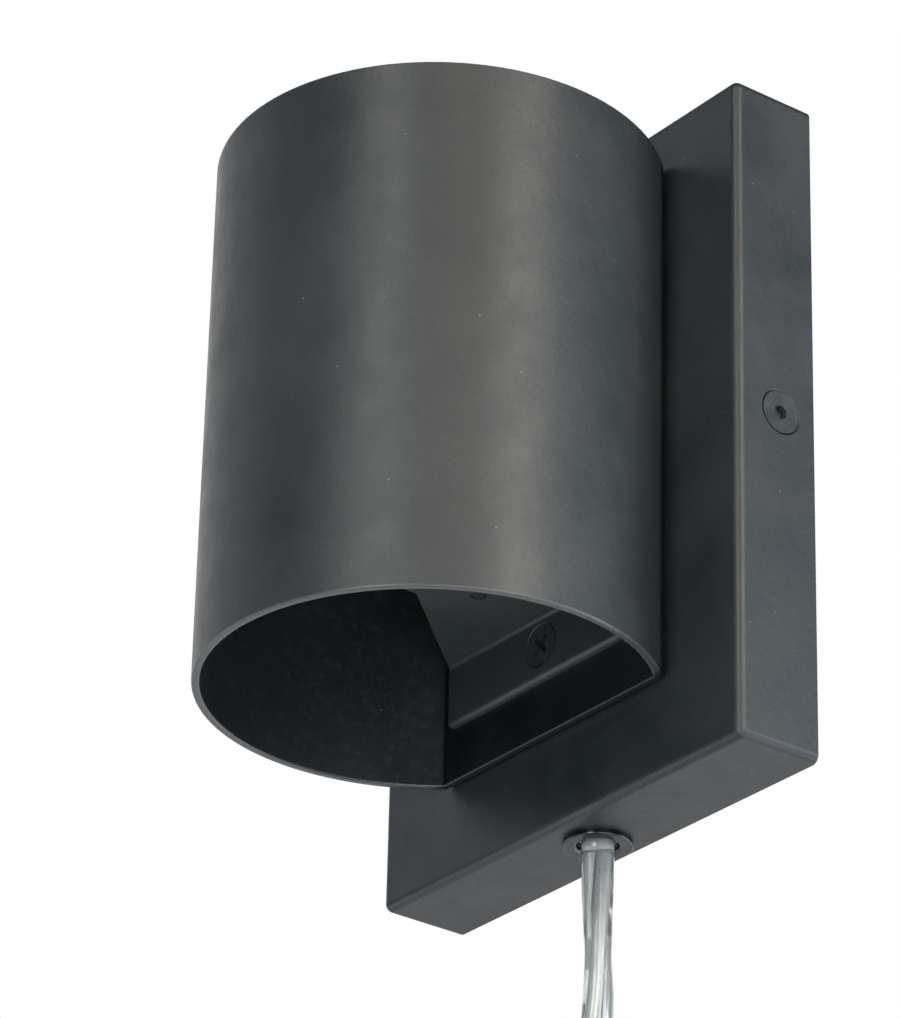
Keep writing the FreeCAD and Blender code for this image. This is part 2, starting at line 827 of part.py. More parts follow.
def gland_nut():
    start = Vector(0, -gland_from_wall, box_floor)
    return nut(start, Z, X, gland_nut_flats, gland_thread + 2 * thread_clearance, gland_nut_height)


def clamp_bottom():
    return box_bottom + gland_barrel


def cord_clamp():
    """Two plastic halves screwed together round the cord, resting on the gland's barrel."""
    centre = Vector(0, -gland_from_wall, clamp_bottom() + clamp_height / 2)
    halves = []
    for side in (1, -1):
        inner = centre + Y * (side * clamp_gap / 2)
        push = Y * (side * (clamp_depth - clamp_gap) / 2)
        solid = rounded_plate(inner, X, Z, clamp_width, clamp_height, block_edge_radius, push)
        solid = solid.cut(rod(centre - Z * clamp_height, Z, cord_diameter, 2 * clamp_height))
        for end in (1, -1):
            start = centre + Vector(end * clamp_screw_spacing / 2, -clamp_depth, 0)
            solid = solid.cut(rod(start, Y, m25 + 2 * thread_clearance, 2 * clamp_depth))
        halves.append(solid)
    return halves


def cord_clamp_screws():
    seat_y = -gland_from_wall + clamp_depth / 2
    height = clamp_bottom() + clamp_height / 2
    seats = [Vector(end * clamp_screw_spacing / 2, seat_y, height) for end in (1, -1)]
    return [slotted_screw(seat, Y * -1, m25_slotted, m25, clamp_depth) for seat in seats]


coil_outer_radius = coil_inner_radius + 1.5 * coil_pitch
coil_centre = Vector(0, -gland_from_wall - coil_outer_radius, coil_height)


# Turn counts, from where the lead joins the coil: where each spiral grows (1) or shrinks (-1),
# where the cord steps over to the next layer, and where it turns out to the tail beside the coil
coil_spirals = ((0, 1.5, -1), (2, 3.5, 1), (4, 5.5, -1), (6, 6.5, 1))
coil_steps = ((1.5, 2), (3.5, 4), (5.5, 6))
coil_tail = (6.5, 7)
coil_turns = coil_tail[1]
arcs_per_turn = 4
tangent_step = 0.001


def coil_ramp(turns, first, last):
    """0 before the first turn count, 1 after the last, and a smooth rise between them."""
    share = min(1, max(0, (turns - first) / (last - first)))
    return (1 - math.cos(math.pi * share)) / 2


def coil_place(turns):
    """The cord's centre after so many turns, counted from the wall side on the way down."""
    radius = coil_outer_radius
    for first, last, sign in coil_spirals:
        radius += sign * coil_pitch * (min(last, max(first, turns)) - first)
    climbs = sum(coil_ramp(turns, *step) for step in coil_steps)
    x = coil_pitch * (climbs - len(coil_steps) / 2) + tail_beside_coil * coil_ramp(turns, *coil_tail)
    angle = 2 * math.pi * turns
    return Vector(x, coil_centre.y + radius * math.cos(angle), coil_centre.z - radius * math.sin(angle))


def coil_heading(turns):
    return unit(coil_place(turns + tangent_step) - coil_place(turns - tangent_step))


def arc_from(start, heading, end):
    """The arc that leaves the start along the heading and ends at the other point."""
    chord = end - start
    along = unit(chord)
    bulge = heading - along * heading.dot(along)
    half_angle = heading.getAngle(along)
    rise = chord.Length / 2 * math.tan(half_angle / 2)
    middle = (start + end) * 0.5 + unit(bulge) * rise
    return Part.Arc(start, middle, end).toShape()


def biarc(start, first_heading, end, last_heading):
    """Two arcs that meet with one tangent and keep the headings at both ends."""
    chord = end - start
    both = first_heading + last_heading
    spread = 2 * (1 - first_heading.dot(last_heading))
    b = chord.dot(both)
    reach = (-b + math.sqrt(b * b + spread * chord.dot(chord))) / spread
    first = start + first_heading * reach
    last = end - last_heading * reach
    middle = (first + last) * 0.5
    return [arc_from(start, first_heading, middle), arc_from(end, last_heading * -1, middle)]


def coil_path():
    """One unbroken centreline: a straight start, four layers of turns and a straight end."""
    arcs = arcs_per_turn * coil_turns
    counts = [i / arcs_per_turn for i in range(arcs + 1)]
    places = [coil_place(t) for t in counts]
    headings = [coil_heading(t) for t in counts]
    headings[0] = Z * -1
    headings[-1] = Z * -1
    edges = [Part.LineSegment(places[0] + Z * cord_diameter, places[0]).toShape()]
    for i in range(arcs):
        edges += biarc(places[i], headings[i], places[i + 1], headings[i + 1])
    edges.append(Part.LineSegment(places[-1], places[-1] - Z * cord_diameter).toShape())
    return Part.Wire(edges)


def coil_gap(path):
    """Least gap of the coil to itself, on points along its centreline."""
    step = cord_diameter / 5
    points = path.discretize(Distance=step)
    skip = int(3 * cord_diameter / step)
    least = path.Length
    for i, a in enumerate(points):
        for b in points[i + skip :]:
            least = min(least, (a - b).Length)
    return least - cord_diameter


def cord_tie():
    """Flat band round the bundle at the bottom of the coil."""
    outermost = coil_outer_radius - coil_pitch / 4 + cord_diameter / 2
    innermost = coil_inner_radius + coil_pitch / 4 - cord_diameter / 2
    wide = len(coil_steps) * coil_pitch + cord_diameter + 2 * tie_clearance
    sag = tie_width**2 / (8 * innermost)
    deep = outermost - innermost + sag + 2 * tie_clearance
    start = coil_centre - Vector(0, tie_width / 2, (outermost + innermost - sag) / 2)
    push = Y * tie_width
    both = 2 * tie_thickness
    outer_radius = tie_corner_radius + tie_thickness
    outer = rounded_plate(start, X, Z, wide + both, deep + both, outer_radius, push)
    return outer.cut(rounded_plate(start, X, Z, wide, deep, tie_corner_radius, push))


def tail_start():
    """Where the cord leaves the coil, straight down beside it."""
    return coil_place(coil_turns) - Z * cord_diameter


def switch_place():
    return tail_start() - Z * (switch_length / 2)


def switch_shell():
    """The whole housing: long ends round, all edges softened."""
    centre = switch_place() - X * (switch_thickness / 2)
    push = X * switch_thickness
    solid = rounded_plate(centre, Z, Y, switch_length, switch_width, switch_end_radius, push)
    flat = edges_where(solid, lambda p: near(p.x, centre.x))
    flat += edges_where(solid, lambda p: near(p.x, centre.x + switch_thickness))
    return solid.makeFillet(switch_edge_radius, flat)


def rocker_pivot():
    return switch_place() + X * (switch_thickness / 2 - rocker_pivot_depth)


def rocker_space():
    """Room for the rocker and its two trunnions."""
    pivot = rocker_pivot()
    width = rocker_width + 2 * rocker_gap
    drum = rod(pivot - Y * (width / 2), Y, 2 * (rocker_radius + rocker_gap), width)
    trunnions = rocker_width + 2 * (rocker_trunnion_length + rocker_gap)
    return drum.fuse(rod(pivot - Y * (trunnions / 2), Y, rocker_trunnion + 2 * thread_clearance, trunnions))


def switch_screw_places():
    centre = switch_place()
    return [centre + Z * (side * switch_screw_spacing / 2) for side in (1, -1)]


def switch_halves():
    """Base on the coil's side and cover with the rocker's window, split at the cord's centre."""
    shell = switch_shell().cut(rocker_space())
    centre = switch_place()
    big = Vector(switch_thickness, switch_width, switch_length)
    base = shell.common(block(centre - big, centre + Vector(0, big.y, big.z)))
    cover = shell.common(block(centre - Vector(0, big.y, big.z), centre + big))
    for place in switch_screw_places():
        seat = place - X * (switch_thickness / 2)
        base = base.cut(rod(seat, X, m25_head + 2 * shank_clearance, m25_head_height + shank_clearance))
        base = base.cut(rod(seat, X, m25 + 2 * shank_clearance, switch_thickness / 2))
        depth = switch_screw_length - switch_thickness / 2 + m25_head_height + 2 * shank_clearance
        cover = cover.cut(rod(place, X, m25 + 2 * thread_clearance, depth))
    return base, cover


def switch_screws():
    sunk = X * (switch_thickness / 2 - m25_head_height - shank_clearance)
    seats = [place - sunk for place in switch_screw_places()]
    return [slotted_screw(seat, X, m25_slotted, m25, switch_screw_length) for seat in seats]


def rocker():
    """Part of a drum with a shallow V on top, tilted to its off position about its trunnions."""
    pivot = rocker_pivot()
    drum = rod(pivot - Y * (rocker_width / 2), Y, 2 * rocker_radius, rocker_width)
    crest = rocker_pivot_depth
    slope = math.tan(math.radians(rocker_tilt))
    reach = 2 * rocker_radius
    rise = reach * slope
    outline = [
        Vector(-rocker_radius / 2, 0, -reach),
        Vector(crest + rise, 0, -reach),
        Vector(crest, 0, 0),
        Vector(crest + rise, 0, reach),
        Vector(-rocker_radius / 2, 0, reach),
    ]
    start = pivot - Y * rocker_width
    points = [start + p for p in outline]
    keep = Part.Face(Part.makePolygon(points + points[:1])).extrude(Y * (2 * rocker_width))
    solid = drum.common(keep)
    trunnions = rocker_width + 2 * rocker_trunnion_length
    solid = solid.fuse(rod(pivot - Y * (trunnions / 2), Y, rocker_trunnion, trunnions)).removeSplitter()
    solid.rotate(pivot, Y, rocker_tilt)
    return solid


def bend_start():
    return tail_start() - Z * switch_length


# Routes of the cord below the box and of the leads inside it: points chosen by hand, each list
# from what it leaves to what it enters
cord_exit = Vector(0, -gland_from_wall, gland_face)
coil_entry = coil_place(0) + Z * cord_diameter
near_way = Vector(way_spacing / 2, block_back() + block_depth / 2, block_bottom)
far_way = Vector(-near_way.x, near_way.y, near_way.z)
near_way_top = near_way + Z * block_length
far_way_top = far_way + Z * block_length
sheath_end = near_way_top + Vector(16.0, 1.3, -7.5)
holder_face = tube_axis + Vector(0, holder_block_length / 2, shelf_top)
nipple_mouth = Vector(0, tube_inner_back, nipple_height)
nipple_tail = Vector(0, box_inner_face, nipple_height)
cord_lead_points = [
    cord_exit,
    cord_exit + Vector(0, 0, -14.0),
    cord_exit + Vector(0.6, 0.1, -31.0),
    cord_exit + Vector(-1.9, -0.1, -47.0),
    coil_entry + Vector(1.4, 0.1, 24.0),
    coil_entry + Vector(0, 0, 12.0),
    coil_entry,
]
cord_inside_points = [
    cord_exit,
    cord_exit + Vector(0, 0, 28.5),
    cord_exit + Vector(16.0, -1.0, 46.0),
    sheath_end + Vector(0, 0, -22.0),
    sheath_end,
]
near_core_points = [
    sheath_end + Vector(-1.1, 0, 0),
    sheath_end + Vector(-1.1, 0, 12.0),
    near_way_top + Vector(12.0, 0.5, 12.0),
    near_way_top + Vector(3.0, 0.1, 12.0),
    near_way_top + Vector(0, 0, 4.5),
    near_way_top + Vector(0, 0, -2.0),
]
far_core_points = [
    sheath_end + Vector(1.1, 0, 0),
    sheath_end + Vector(1.1, 0, 15.0),
    near_way_top + Vector(13.0, 0.7, 17.0),
    near_way_top + Vector(4.5, 0.3, 20.5),
    far_way_top + Vector(4.0, 0, 17.0),
    far_way_top + Vector(0, 0, 7.5),
    far_way_top + Vector(0, 0, -2.0),
]
lamp_wire_points = [
    holder_face + Vector(2.2, 0, 7.5),
    holder_face + Vector(2.2, 3.5, 7.5),
    nipple_mouth + Vector(1.4, -9.0, -1.0),
    nipple_mouth + Vector(1.2, -2.5, 0),
    nipple_tail + Vector(1.2, 4.8, 0),
    nipple_tail + Vector(2.0, 8.3, 4.5),
    near_way + Vector(-0.4, 0.7, -8.5),
    near_way + Vector(0, 0, 1.5),
]


def cord_bend_path():
    """Half turn between the switch and the plug, with a short straight at each end."""
    start = bend_start()
    low = start - Z * u_bend_straight
    far = low - Y * (2 * u_bend_radius)
    bottom = low - Y * u_bend_radius - Z * u_bend_radius
    quarter = u_bend_radius / math.sqrt(2)
    first_middle = low + Vector(0, quarter - u_bend_radius, -quarter)
    last_middle = far + Vector(0, u_bend_radius - quarter, -quarter)
    edges = [
        Part.LineSegment(start, low),
        Part.Arc(low, first_middle, bottom),
        Part.Arc(bottom, last_middle, far),
        Part.LineSegment(far, far + Z * u_bend_straight),
    ]
    return Part.Wire([e.toShape() for e in edges])


def plug_rear():
    return bend_start() - Y * (2 * u_bend_radius)


def plug_face():
    return plug_rear() + Z * (relief_length + plug_body_length)


def plug_pin_axis(side):
    """Unit vector along a pin: the two lean together towards their tips."""
    lean = (plug_pin_base_spacing - plug_pin_tip_spacing) / 2
    return unit(Vector(0, -side * lean, plug_pin_length))


def plug_pins():
    solids = []
    for side in (1, -1):
        base = plug_face() + Y * (side * plug_pin_base_spacing / 2)
        axis = plug_pin_axis(side)
        core = rod(base - axis * plug_pin_root, axis, plug_pin_core, plug_pin_root + plug_pin_sleeve_length)
        bare_length = plug_pin_length - plug_pin_sleeve_length
        bare = rod(base + axis * plug_pin_sleeve_length, axis, plug_pin, bare_length)
        tip = [e for e in bare.Edges if e.Closed and e.CenterOfMass.z > bare.CenterOfMass.z]
        bare = bare.makeChamfer(plug_pin_tip_edge, tip)
        solids.append(core.fuse(bare).removeSplitter())
    return solids


def plug_body(pins):
    """Moulded body: a flat front, a waist to grip, and a tapered strain relief."""
    rear = plug_rear() + Z * relief_length
    front = plug_face()
    waist = rear + Z * ((plug_body_length - plug_front_length) / 2)
    shoulder = front - Z * plug_front_length
    sections = [
        rounded_outline(rear, Y, X, plug_rear_width, plug_rear_thickness, plug_rear_radius),
        rounded_outline(waist, Y, X, plug_waist_width, plug_waist_thickness, plug_waist_radius),
        rounded_outline(shoulder, Y, X, plug_width, plug_thickness, plug_corner_radius),
    ]
    solid = Part.makeLoft(sections, True, True)
    push = Z * plug_front_length
    front_plate = rounded_plate(shoulder, Y, X, plug_width, plug_thickness, plug_corner_radius, push)
    solid = solid.fuse(front_plate)
    solid = solid.fuse(taper(plug_rear(), Z, relief_rear, relief_front, relief_length))
    for side in (1, -1):
        base = front + Y * (side * plug_pin_base_spacing / 2)
        axis = plug_pin_axis(side)
        sleeve_length = plug_pin_sleeve_length + overrun
        solid = solid.fuse(rod(base - axis * overrun, axis, plug_pin_sleeve, sleeve_length))
    for pin in pins:
        solid = solid.cut(pin)
    return solid


save("wall_box", [wall_box()])
save("wall_bracket", [wall_bracket()])
save("rivet_nuts", [rivet_nut(), mirrored(rivet_nut())])
save("side_screws", [side_screw(), mirrored(side_screw())])
save("tube", [tube()])
save("tube_spacer", [spacer()])
save("lamp_bracket", [lamp_bracket()])
save("tube_screw", [tube_screw()])
save("tube_screw_washer", [tube_screw_washer()])
save("tube_screw_nut", [tube_screw_nut()])
save("wire_nipple", [nipple()])
save("nipple_nuts", nipple_nuts())
save("nipple_liner", [nipple_liner()])
save("lampholder", [lampholder()])
save("lampholder_contacts", contacts())
save("lampholder_screws", holder_screws())
loops = lamp_pins()
save("lamp_pins", loops)
save("lamp_base", [lamp_base(loops)])
save("lamp_glass", [lamp_glass()])
save("lamp_light_strip", [lamp_strip()])
save("terminal_block", [terminal_block()])
save("terminal_ways", terminal_ways())
save("terminal_clamp_screws", terminal_clamp_screws())
save("terminal_fixing_screw", [terminal_fixing_screw()])
save("cord_gland", [gland()])
save("gland_bush", [gland_bush()])
save("gland_nut", [gland_nut()])
save("cord_clamp", cord_clamp())
save("cord_clamp_screws", cord_clamp_screws())
save("cord_inside", [cord("cord_inside", cord_inside_points, cord_diameter, thin_wire_sides)])
cores = [near_core_points, far_core_points]
save("cord_cores", [cord("cord_cores", points, core_diameter, thin_wire_sides) for points in cores])
lamp_wire = cord("lamp_wires", lamp_wire_points, lamp_wire_diameter, thin_wire_sides)
save("lamp_wires", [lamp_wire, mirrored(lamp_wire)])
save("cord_lead", [cord("cord_lead", cord_lead_points, cord_diameter)])
coil = coil_path()
wound, wound_area = tube_along(coil, cord_diameter, thin_wire_sides)
save("cord_coil", [wound])
save("cord_tie", [cord_tie()])
switch_base, switch_cover = switch_halves()
save("switch_base", [switch_base])
save("switch_cover", [switch_cover])
save("switch_screws", switch_screws())
save("switch_rocker", [rocker()])
bend = cord_bend_path()
tail, tail_area = tube_along(bend, cord_diameter, thin_wire_sides)
save("cord_bend", [tail])
pins = plug_pins()
save("plug_pins", pins)
save("plug_body", [plug_body(pins)])

print("coil volume share", round(wound.Volume / (wound_area * coil.Length), 4))
print("bend volume share", round(tail.Volume / (tail_area * bend.Length), 4))
print("coil's least gap to itself", round(coil_gap(coil), 2))
lead = route(cord_lead_points)[0]
print("cord outside the box", round(lead.Length + coil.Length + bend.Length, 1))
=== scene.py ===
"""Looks of a plug-in wall lamp: a black D-shaped tube on a flat box, with a clear two-core cord."""
import math

import bpy
from mathutils import Matrix, Vector


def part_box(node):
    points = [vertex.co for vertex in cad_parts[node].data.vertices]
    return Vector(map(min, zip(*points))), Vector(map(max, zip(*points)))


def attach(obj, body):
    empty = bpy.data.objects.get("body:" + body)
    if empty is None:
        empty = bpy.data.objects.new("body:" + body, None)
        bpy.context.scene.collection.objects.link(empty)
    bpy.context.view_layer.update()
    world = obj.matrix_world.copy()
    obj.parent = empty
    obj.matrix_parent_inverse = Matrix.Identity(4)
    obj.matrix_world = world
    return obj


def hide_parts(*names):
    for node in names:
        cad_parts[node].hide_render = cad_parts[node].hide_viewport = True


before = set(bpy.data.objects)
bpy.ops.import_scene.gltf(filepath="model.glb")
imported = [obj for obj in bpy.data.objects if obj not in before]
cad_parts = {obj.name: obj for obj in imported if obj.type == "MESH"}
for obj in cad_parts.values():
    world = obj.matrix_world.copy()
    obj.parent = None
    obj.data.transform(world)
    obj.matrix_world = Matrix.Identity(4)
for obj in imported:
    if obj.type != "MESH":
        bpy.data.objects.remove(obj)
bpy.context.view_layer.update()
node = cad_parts
scene = bpy.context.scene


# --- View, light and floor ------------------------------------------------------------------
# The lamp was photographed from below and from its right in a studio: a dark ceiling, white
# walls, warm softboxes beside and in front of it, and pale panels low down. The floor lies
# under the cord.

scene.view_settings.view_transform = "Standard"

camera_place = Vector((0.609376, -0.496240, -0.408849))
camera_right = Vector((0.606964, 0.794424, 0.022046))
camera_up = Vector((0.357101, -0.297408, 0.885453))
camera_back = Vector((0.709981, -0.529565, -0.464206))
camera_data = bpy.data.cameras.new("camera")
camera_data.lens = 171.56
camera_data.sensor_width = 36
camera_data.clip_start = 0.05
camera_data.clip_end = 20
camera = bpy.data.objects.new("camera", camera_data)
turn = Matrix((camera_right, camera_up, camera_back)).transposed()
camera.matrix_world = Matrix.Translation(camera_place) @ turn.to_4x4()
scene.collection.objects.link(camera)
scene.camera = camera


def linear(hex_colour):
    """An sRGB hex colour, such as "26282b", as the linear colour that a socket takes."""
    channels = [int(hex_colour[i:i + 2], 16) / 255 for i in (0, 2, 4)]
    return [c / 12.92 if c <= 0.04045 else ((c + 0.055) / 1.055) ** 2.4 for c in channels] + [1]


def softbox(name, azimuth, elevation, distance, width, height, watts, colour):
    """A rectangular softbox, aimed at the tube. Azimuth 0 is in front of the lamp, 90 at its right."""
    a, e = math.radians(azimuth), math.radians(elevation)
    aim = Vector((0, -0.03, 0))
    away = Vector((math.cos(e) * math.sin(a), -math.cos(e) * math.cos(a), math.sin(e)))
    light = bpy.data.lights.new(name, "AREA")
    light.shape = "RECTANGLE"
    light.size = width
    light.size_y = height
    light.energy = watts
    light.color = linear(colour)[:3]
    holder = bpy.data.objects.new(name, light)
    holder.location = aim + away * distance
    holder.rotation_euler = away.to_track_quat("Z", "Y").to_euler()
    holder.visible_camera = False
    scene.collection.objects.link(holder)


# Warm softboxes above, and cooler panels low down that light the undersides. Each row gives the
# azimuth and elevation in degrees, the distance, width and height in metres, and the watts.
for name, azimuth, elevation, distance, width, height, watts, colour in (
    ("right key", 93, 15, 1.4, 0.55, 1.0, 14.8, "fffaee"),
    ("front key", 27, 20, 1.4, 0.45, 1.0, 7.1, "fffdf4"),
    ("between the keys", 60, 28, 1.4, 0.3, 1.2, 4.1, "ffece1"),
    ("right side, behind", 127, 6, 1.4, 0.6, 0.6, 7.0, "e3f0ff"),
    ("left side", 307, 28, 1.4, 0.6, 0.9, 1.0, "e9f2ff"),
    ("low in front", 27, -8, 1.4, 0.45, 0.6, 8.9, "ecf3ff"),
    ("low panel, right", 75, -35, 1.0, 0.6, 0.5, 3.0, "dfe9ff"),
    ("low panel, behind right", 150, -25, 1.0, 0.6, 0.5, 3.5, "e7e8ff"),
    ("low panel, behind", 200, -40, 1.0, 0.6, 0.5, 1.6, "eef4ff"),
    ("low panel, left", 300, -25, 1.0, 0.6, 0.5, 1.0, "def1ff"),
):
    softbox(name, azimuth, elevation, distance, width, height, watts, colour)


def add(tree, kind, settings=None, inputs=None):
    """Adds a node with its settings. An input is set, or linked to a socket or a node's first output."""
    new = tree.nodes.new(kind)
    for name, value in (settings or {}).items():
        setattr(new, name, value)
    for name, value in (inputs or {}).items():
        if isinstance(value, bpy.types.Node):
            value = value.outputs[0]
        if isinstance(value, bpy.types.NodeSocket):
            tree.links.new(value, new.inputs[name])
        else:
            new.inputs[name].default_value = value
    return new


# A reflection sees the room: a white backdrop behind the lamp's left, a pale band of wall all
# round with a dark doorway behind the lamp and a little to its right, and little overhead. The
# camera, and a look through clear plastic, see plain white.
room = bpy.data.worlds.new("white room")
room.use_nodes = True
scene.world = room
tree = room.node_tree
towards = add(tree, "ShaderNodeTexCoord").outputs["Generated"]
up = add(tree, "ShaderNodeSeparateXYZ", None, {0: towards}).outputs["Z"]
backdrop_way, doorway_way = (
    add(tree, "ShaderNodeVectorMath", {"operation": "DOT_PRODUCT"}, {0: towards, 1: way}).outputs["Value"]
    for way in ((-0.8, 0.6, 0), (0.26, 0.97, 0)))
# Each row is a soft step: what it follows, where it starts and ends, and the brightness there.
wall_foot, wall_top, doorway, backdrop = (
    add(tree, "ShaderNodeMapRange", {"interpolation_type": "SMOOTHSTEP"}, {
        "Value": followed, "From Min": start, "From Max": end, "To Min": first, "To Max": last})
    for followed, start, end, first, last in (
        (up, 0, 0.3, 0, 0.37),
        (up, 0.3, 0.8, 1, 0),
        (doorway_way, 0.68, 0.92, 1, 0),
        (backdrop_way, 0.3, 0.9, 0, 0.88),
    ))
wall = add(tree, "ShaderNodeMath", {"operation": "MULTIPLY"}, {0: wall_foot, 1: wall_top})
wall = add(tree, "ShaderNodeMath", {"operation": "MULTIPLY"}, {0: wall, 1: doorway})
reflected = add(tree, "ShaderNodeMath", {"operation": "ADD"}, {0: wall, 1: backdrop})
ray = add(tree, "ShaderNodeLightPath").outputs
direct = add(tree, "ShaderNodeMath", {"operation": "MAXIMUM"}, {0: ray["Is Camera Ray"], 1: ray["Is Transmission Ray"]})
strength = add(tree, "ShaderNodeMix", {"data_type": "FLOAT"}, {0: direct, 2: reflected, 3: 1.0})
tree.links.new(strength.outputs[0], tree.nodes["Background"].inputs["Strength"])
tree.nodes["Background"].inputs["Color"].default_value = (1, 1, 1, 1)

# Gives pale paper that keeps the lamp's shadow. The camera, a reflection and a look through clear
# plastic see it partly as plain white, so that it stays pale away from the softboxes too.
floor_height = -0.75
floor_half = 4
plain_white_share = 0.6
floor_paper = bpy.data.materials.new("floor paper")
floor_paper.use_nodes = True
tree = floor_paper.node_tree
lit = tree.nodes["Principled BSDF"]
lit.inputs["Base Color"].default_value = linear("e9e9e6")
lit.inputs["Roughness"].default_value = 0.8
ray = add(tree, "ShaderNodeLightPath").outputs
direct = add(tree, "ShaderNodeMath", {"operation": "MAXIMUM"}, {0: ray["Is Camera Ray"], 1: ray["Is Transmission Ray"]})
direct = add(tree, "ShaderNodeMath", {"operation": "MAXIMUM"}, {0: direct, 1: ray["Is Glossy Ray"]})
share = add(tree, "ShaderNodeMath", {"operation": "MULTIPLY"}, {0: direct, 1: plain_white_share})
white = add(tree, "ShaderNodeEmission", None, {"Color": (1, 1, 1, 1), "Strength": 1.0})
paper = add(tree, "ShaderNodeMixShader", None, {0: share, 1: lit, 2: white})
tree.links.new(paper.outputs[0], tree.nodes["Material Output"].inputs["Surface"])
floor_mesh = bpy.data.meshes.new("floor")
corners = [(x * floor_half, y * floor_half, floor_height) for x, y in ((-1, -1), (1, -1), (1, 1), (-1, 1))]
floor_mesh.from_pydata(corners, [], [(0, 1, 2, 3)])
floor_mesh.materials.append(floor_paper)
floor = bpy.data.objects.new("floor", floor_mesh)
scene.collection.objects.link(floor)


# --- Powder-coated steel: box, tube, spacer and lamp bracket ----------------------------------
# Folded 1.2 mm sheet and a rolled D-shaped tube, coated with a fine satin black powder. The coat
# flows into a fine orange peel, and handling leaves dust, lint and faint dull patches on it.

MM = 0.001


def start_material(name):
    """A new material with its tree and its Principled BSDF."""
    material = bpy.data.materials.new(name)
    material.use_nodes = True
    return material, material.node_tree, material.node_tree.nodes["Principled BSDF"]


def finish(material, *names):
    """Gives a material to these CAD nodes."""
    for name in names:
        node[name].data.materials.clear()
        node[name].data.materials.append(material)


def per_mm(size):
    """A texture's scale for details of this size in millimetres, on Object coordinates in metres."""
    return 1 / (size * MM)


def noise(tree, size, detail=2.0, roughness=0.5, stretch=(1, 1, 1)):
    """Noise with details of this size in millimetres, drawn out along an axis where stretch is over 1."""
    place = add(tree, "ShaderNodeTexCoord").outputs["Object"]
    squeezed = add(tree, "ShaderNodeVectorMath", {"operation": "DIVIDE"}, {0: place, 1: stretch})
    return add(tree, "ShaderNodeTexNoise", None, {
        "Vector": squeezed, "Scale": per_mm(size), "Detail": detail, "Roughness": roughness})


def specks(tree, apart, radius, stretch=(1, 1, 1)):
    """1 inside small specks, about so many millimetres apart, and 0 elsewhere."""
    place = add(tree, "ShaderNodeTexCoord").outputs["Object"]
    squeezed = add(tree, "ShaderNodeVectorMath", {"operation": "DIVIDE"}, {0: place, 1: stretch})
    cell = add(tree, "ShaderNodeTexVoronoi", None, {"Vector": squeezed, "Scale": per_mm(apart)})
    edge = radius / apart
    return add(tree, "ShaderNodeMapRange", None, {
        "Value": cell.outputs["Distance"], "From Min": 0.6 * edge, "From Max": edge, "To Min": 1, "To Max": 0})


def surface(tree, tone, rough, relief):
    """Lets patterns drive a material. Tone is a pattern and the colours at its 0 and 1, rough is a
    pattern, two of its values and the roughness at each, and relief is a pattern, a strength and a
    depth in millimetres."""
    shader = tree.nodes["Principled BSDF"]
    colour = add(tree, "ShaderNodeMix", {"data_type": "RGBA"}, {0: tone[0], 6: linear(tone[1]), 7: linear(tone[2])})
    dull = add(tree, "ShaderNodeMapRange", None, {
        "Value": rough[0], "From Min": rough[1], "From Max": rough[2], "To Min": rough[3], "To Max": rough[4]})
    bump = add(tree, "ShaderNodeBump", None, {"Height": relief[0], "Strength": relief[1], "Distance": relief[2] * MM})
    tree.links.new(colour.outputs[2], shader.inputs["Base Color"])
    tree.links.new(dull.outputs[0], shader.inputs["Roughness"])
    tree.links.new(bump.outputs[0], shader.inputs["Normal"])


def paint_over(tree, mask, colour):
    """Lays a colour over a material's own where a mask is 1."""
    socket = tree.nodes["Principled BSDF"].inputs["Base Color"]
    own = socket.links[0].from_socket
    over = add(tree, "ShaderNodeMix", {"data_type": "RGBA"}, {0: mask, 6: own, 7: linear(colour)})
    tree.links.new(over.outputs[2], socket)


def powder_coat(name, dark, light):
    """Satin powder coat between two tones, with grain, orange peel, dull patches, dust and lint."""
    material, tree, shader = start_material(name)
    grain = noise(tree, 0.45, 3, 0.6)
    peel = noise(tree, 2.5)
    patch = noise(tree, 7, 3)
    cloud = noise(tree, 22, 3)
    rubbed = noise(tree, 1.1, 2, 0.5, (1, 1, 5))
    speckle = add(tree, "ShaderNodeMath", {"operation": "MULTIPLY"}, {0: grain, 1: cloud})
    speckle = add(tree, "ShaderNodeMapRange", None, {"Value": speckle, "From Min": 0.12, "From Max": 0.38})
    worn = add(tree, "ShaderNodeMath", {"operation": "ADD"}, {0: patch, 1: cloud})
    worn = add(tree, "ShaderNodeMath", {"operation": "MULTIPLY_ADD"}, {0: rubbed, 1: 0.4, 2: worn})
    height = add(tree, "ShaderNodeMath", {"operation": "MULTIPLY_ADD"}, {0: grain, 1: 0.6, 2: peel})
    surface(tree, (speckle, dark, light), (worn, 0.85, 1.55, 0.36, 0.50), (height, 0.45, 0.10))
    dust = specks(tree, 5.5, 0.2)
    lint = specks(tree, 8, 0.14, (1, 1.4, 5))
    dirt = add(tree, "ShaderNodeMath", {"operation": "MAXIMUM"}, {0: dust, 1: lint})
    paint_over(tree, dirt, "5f6361")
    return material, tree, shader


# Gives a satin black that is a little blue in the dark, with a soft grainy highlight, dull
# patches the size of a thumb, and a few pale specks of dust and threads of lint. The grain is
# drawn at 0.45 mm, coarser than the real powder's 0.1 mm, so that it shows.
box_coat = powder_coat("satin black powder coat, box", "181e21", "272b2c")[0]
finish(box_coat, "wall_box", "tube_spacer")

# The bracket's coat is a lighter copy of the box's coat, as painted light for the light that reaches it inside the
# tube.
lit_bracket_coat = powder_coat("satin black powder coat, bracket, painted lighter", "2a3132", "353a39")[0]
finish(lit_bracket_coat, "lamp_bracket")


def past(tree, axis, level, softness, before=0, beyond=1):
    """A value that steps softly at a level along an axis, both in millimetres, from before to beyond."""
    place = add(tree, "ShaderNodeTexCoord").outputs["Object"]
    along = add(tree, "ShaderNodeSeparateXYZ", None, {0: place}).outputs[axis]
    return add(tree, "ShaderNodeMapRange", None, {
        "Value": along, "From Min": (level - softness) * MM, "From Max": (level + softness) * MM,
        "To Min": before, "To Max": beyond})
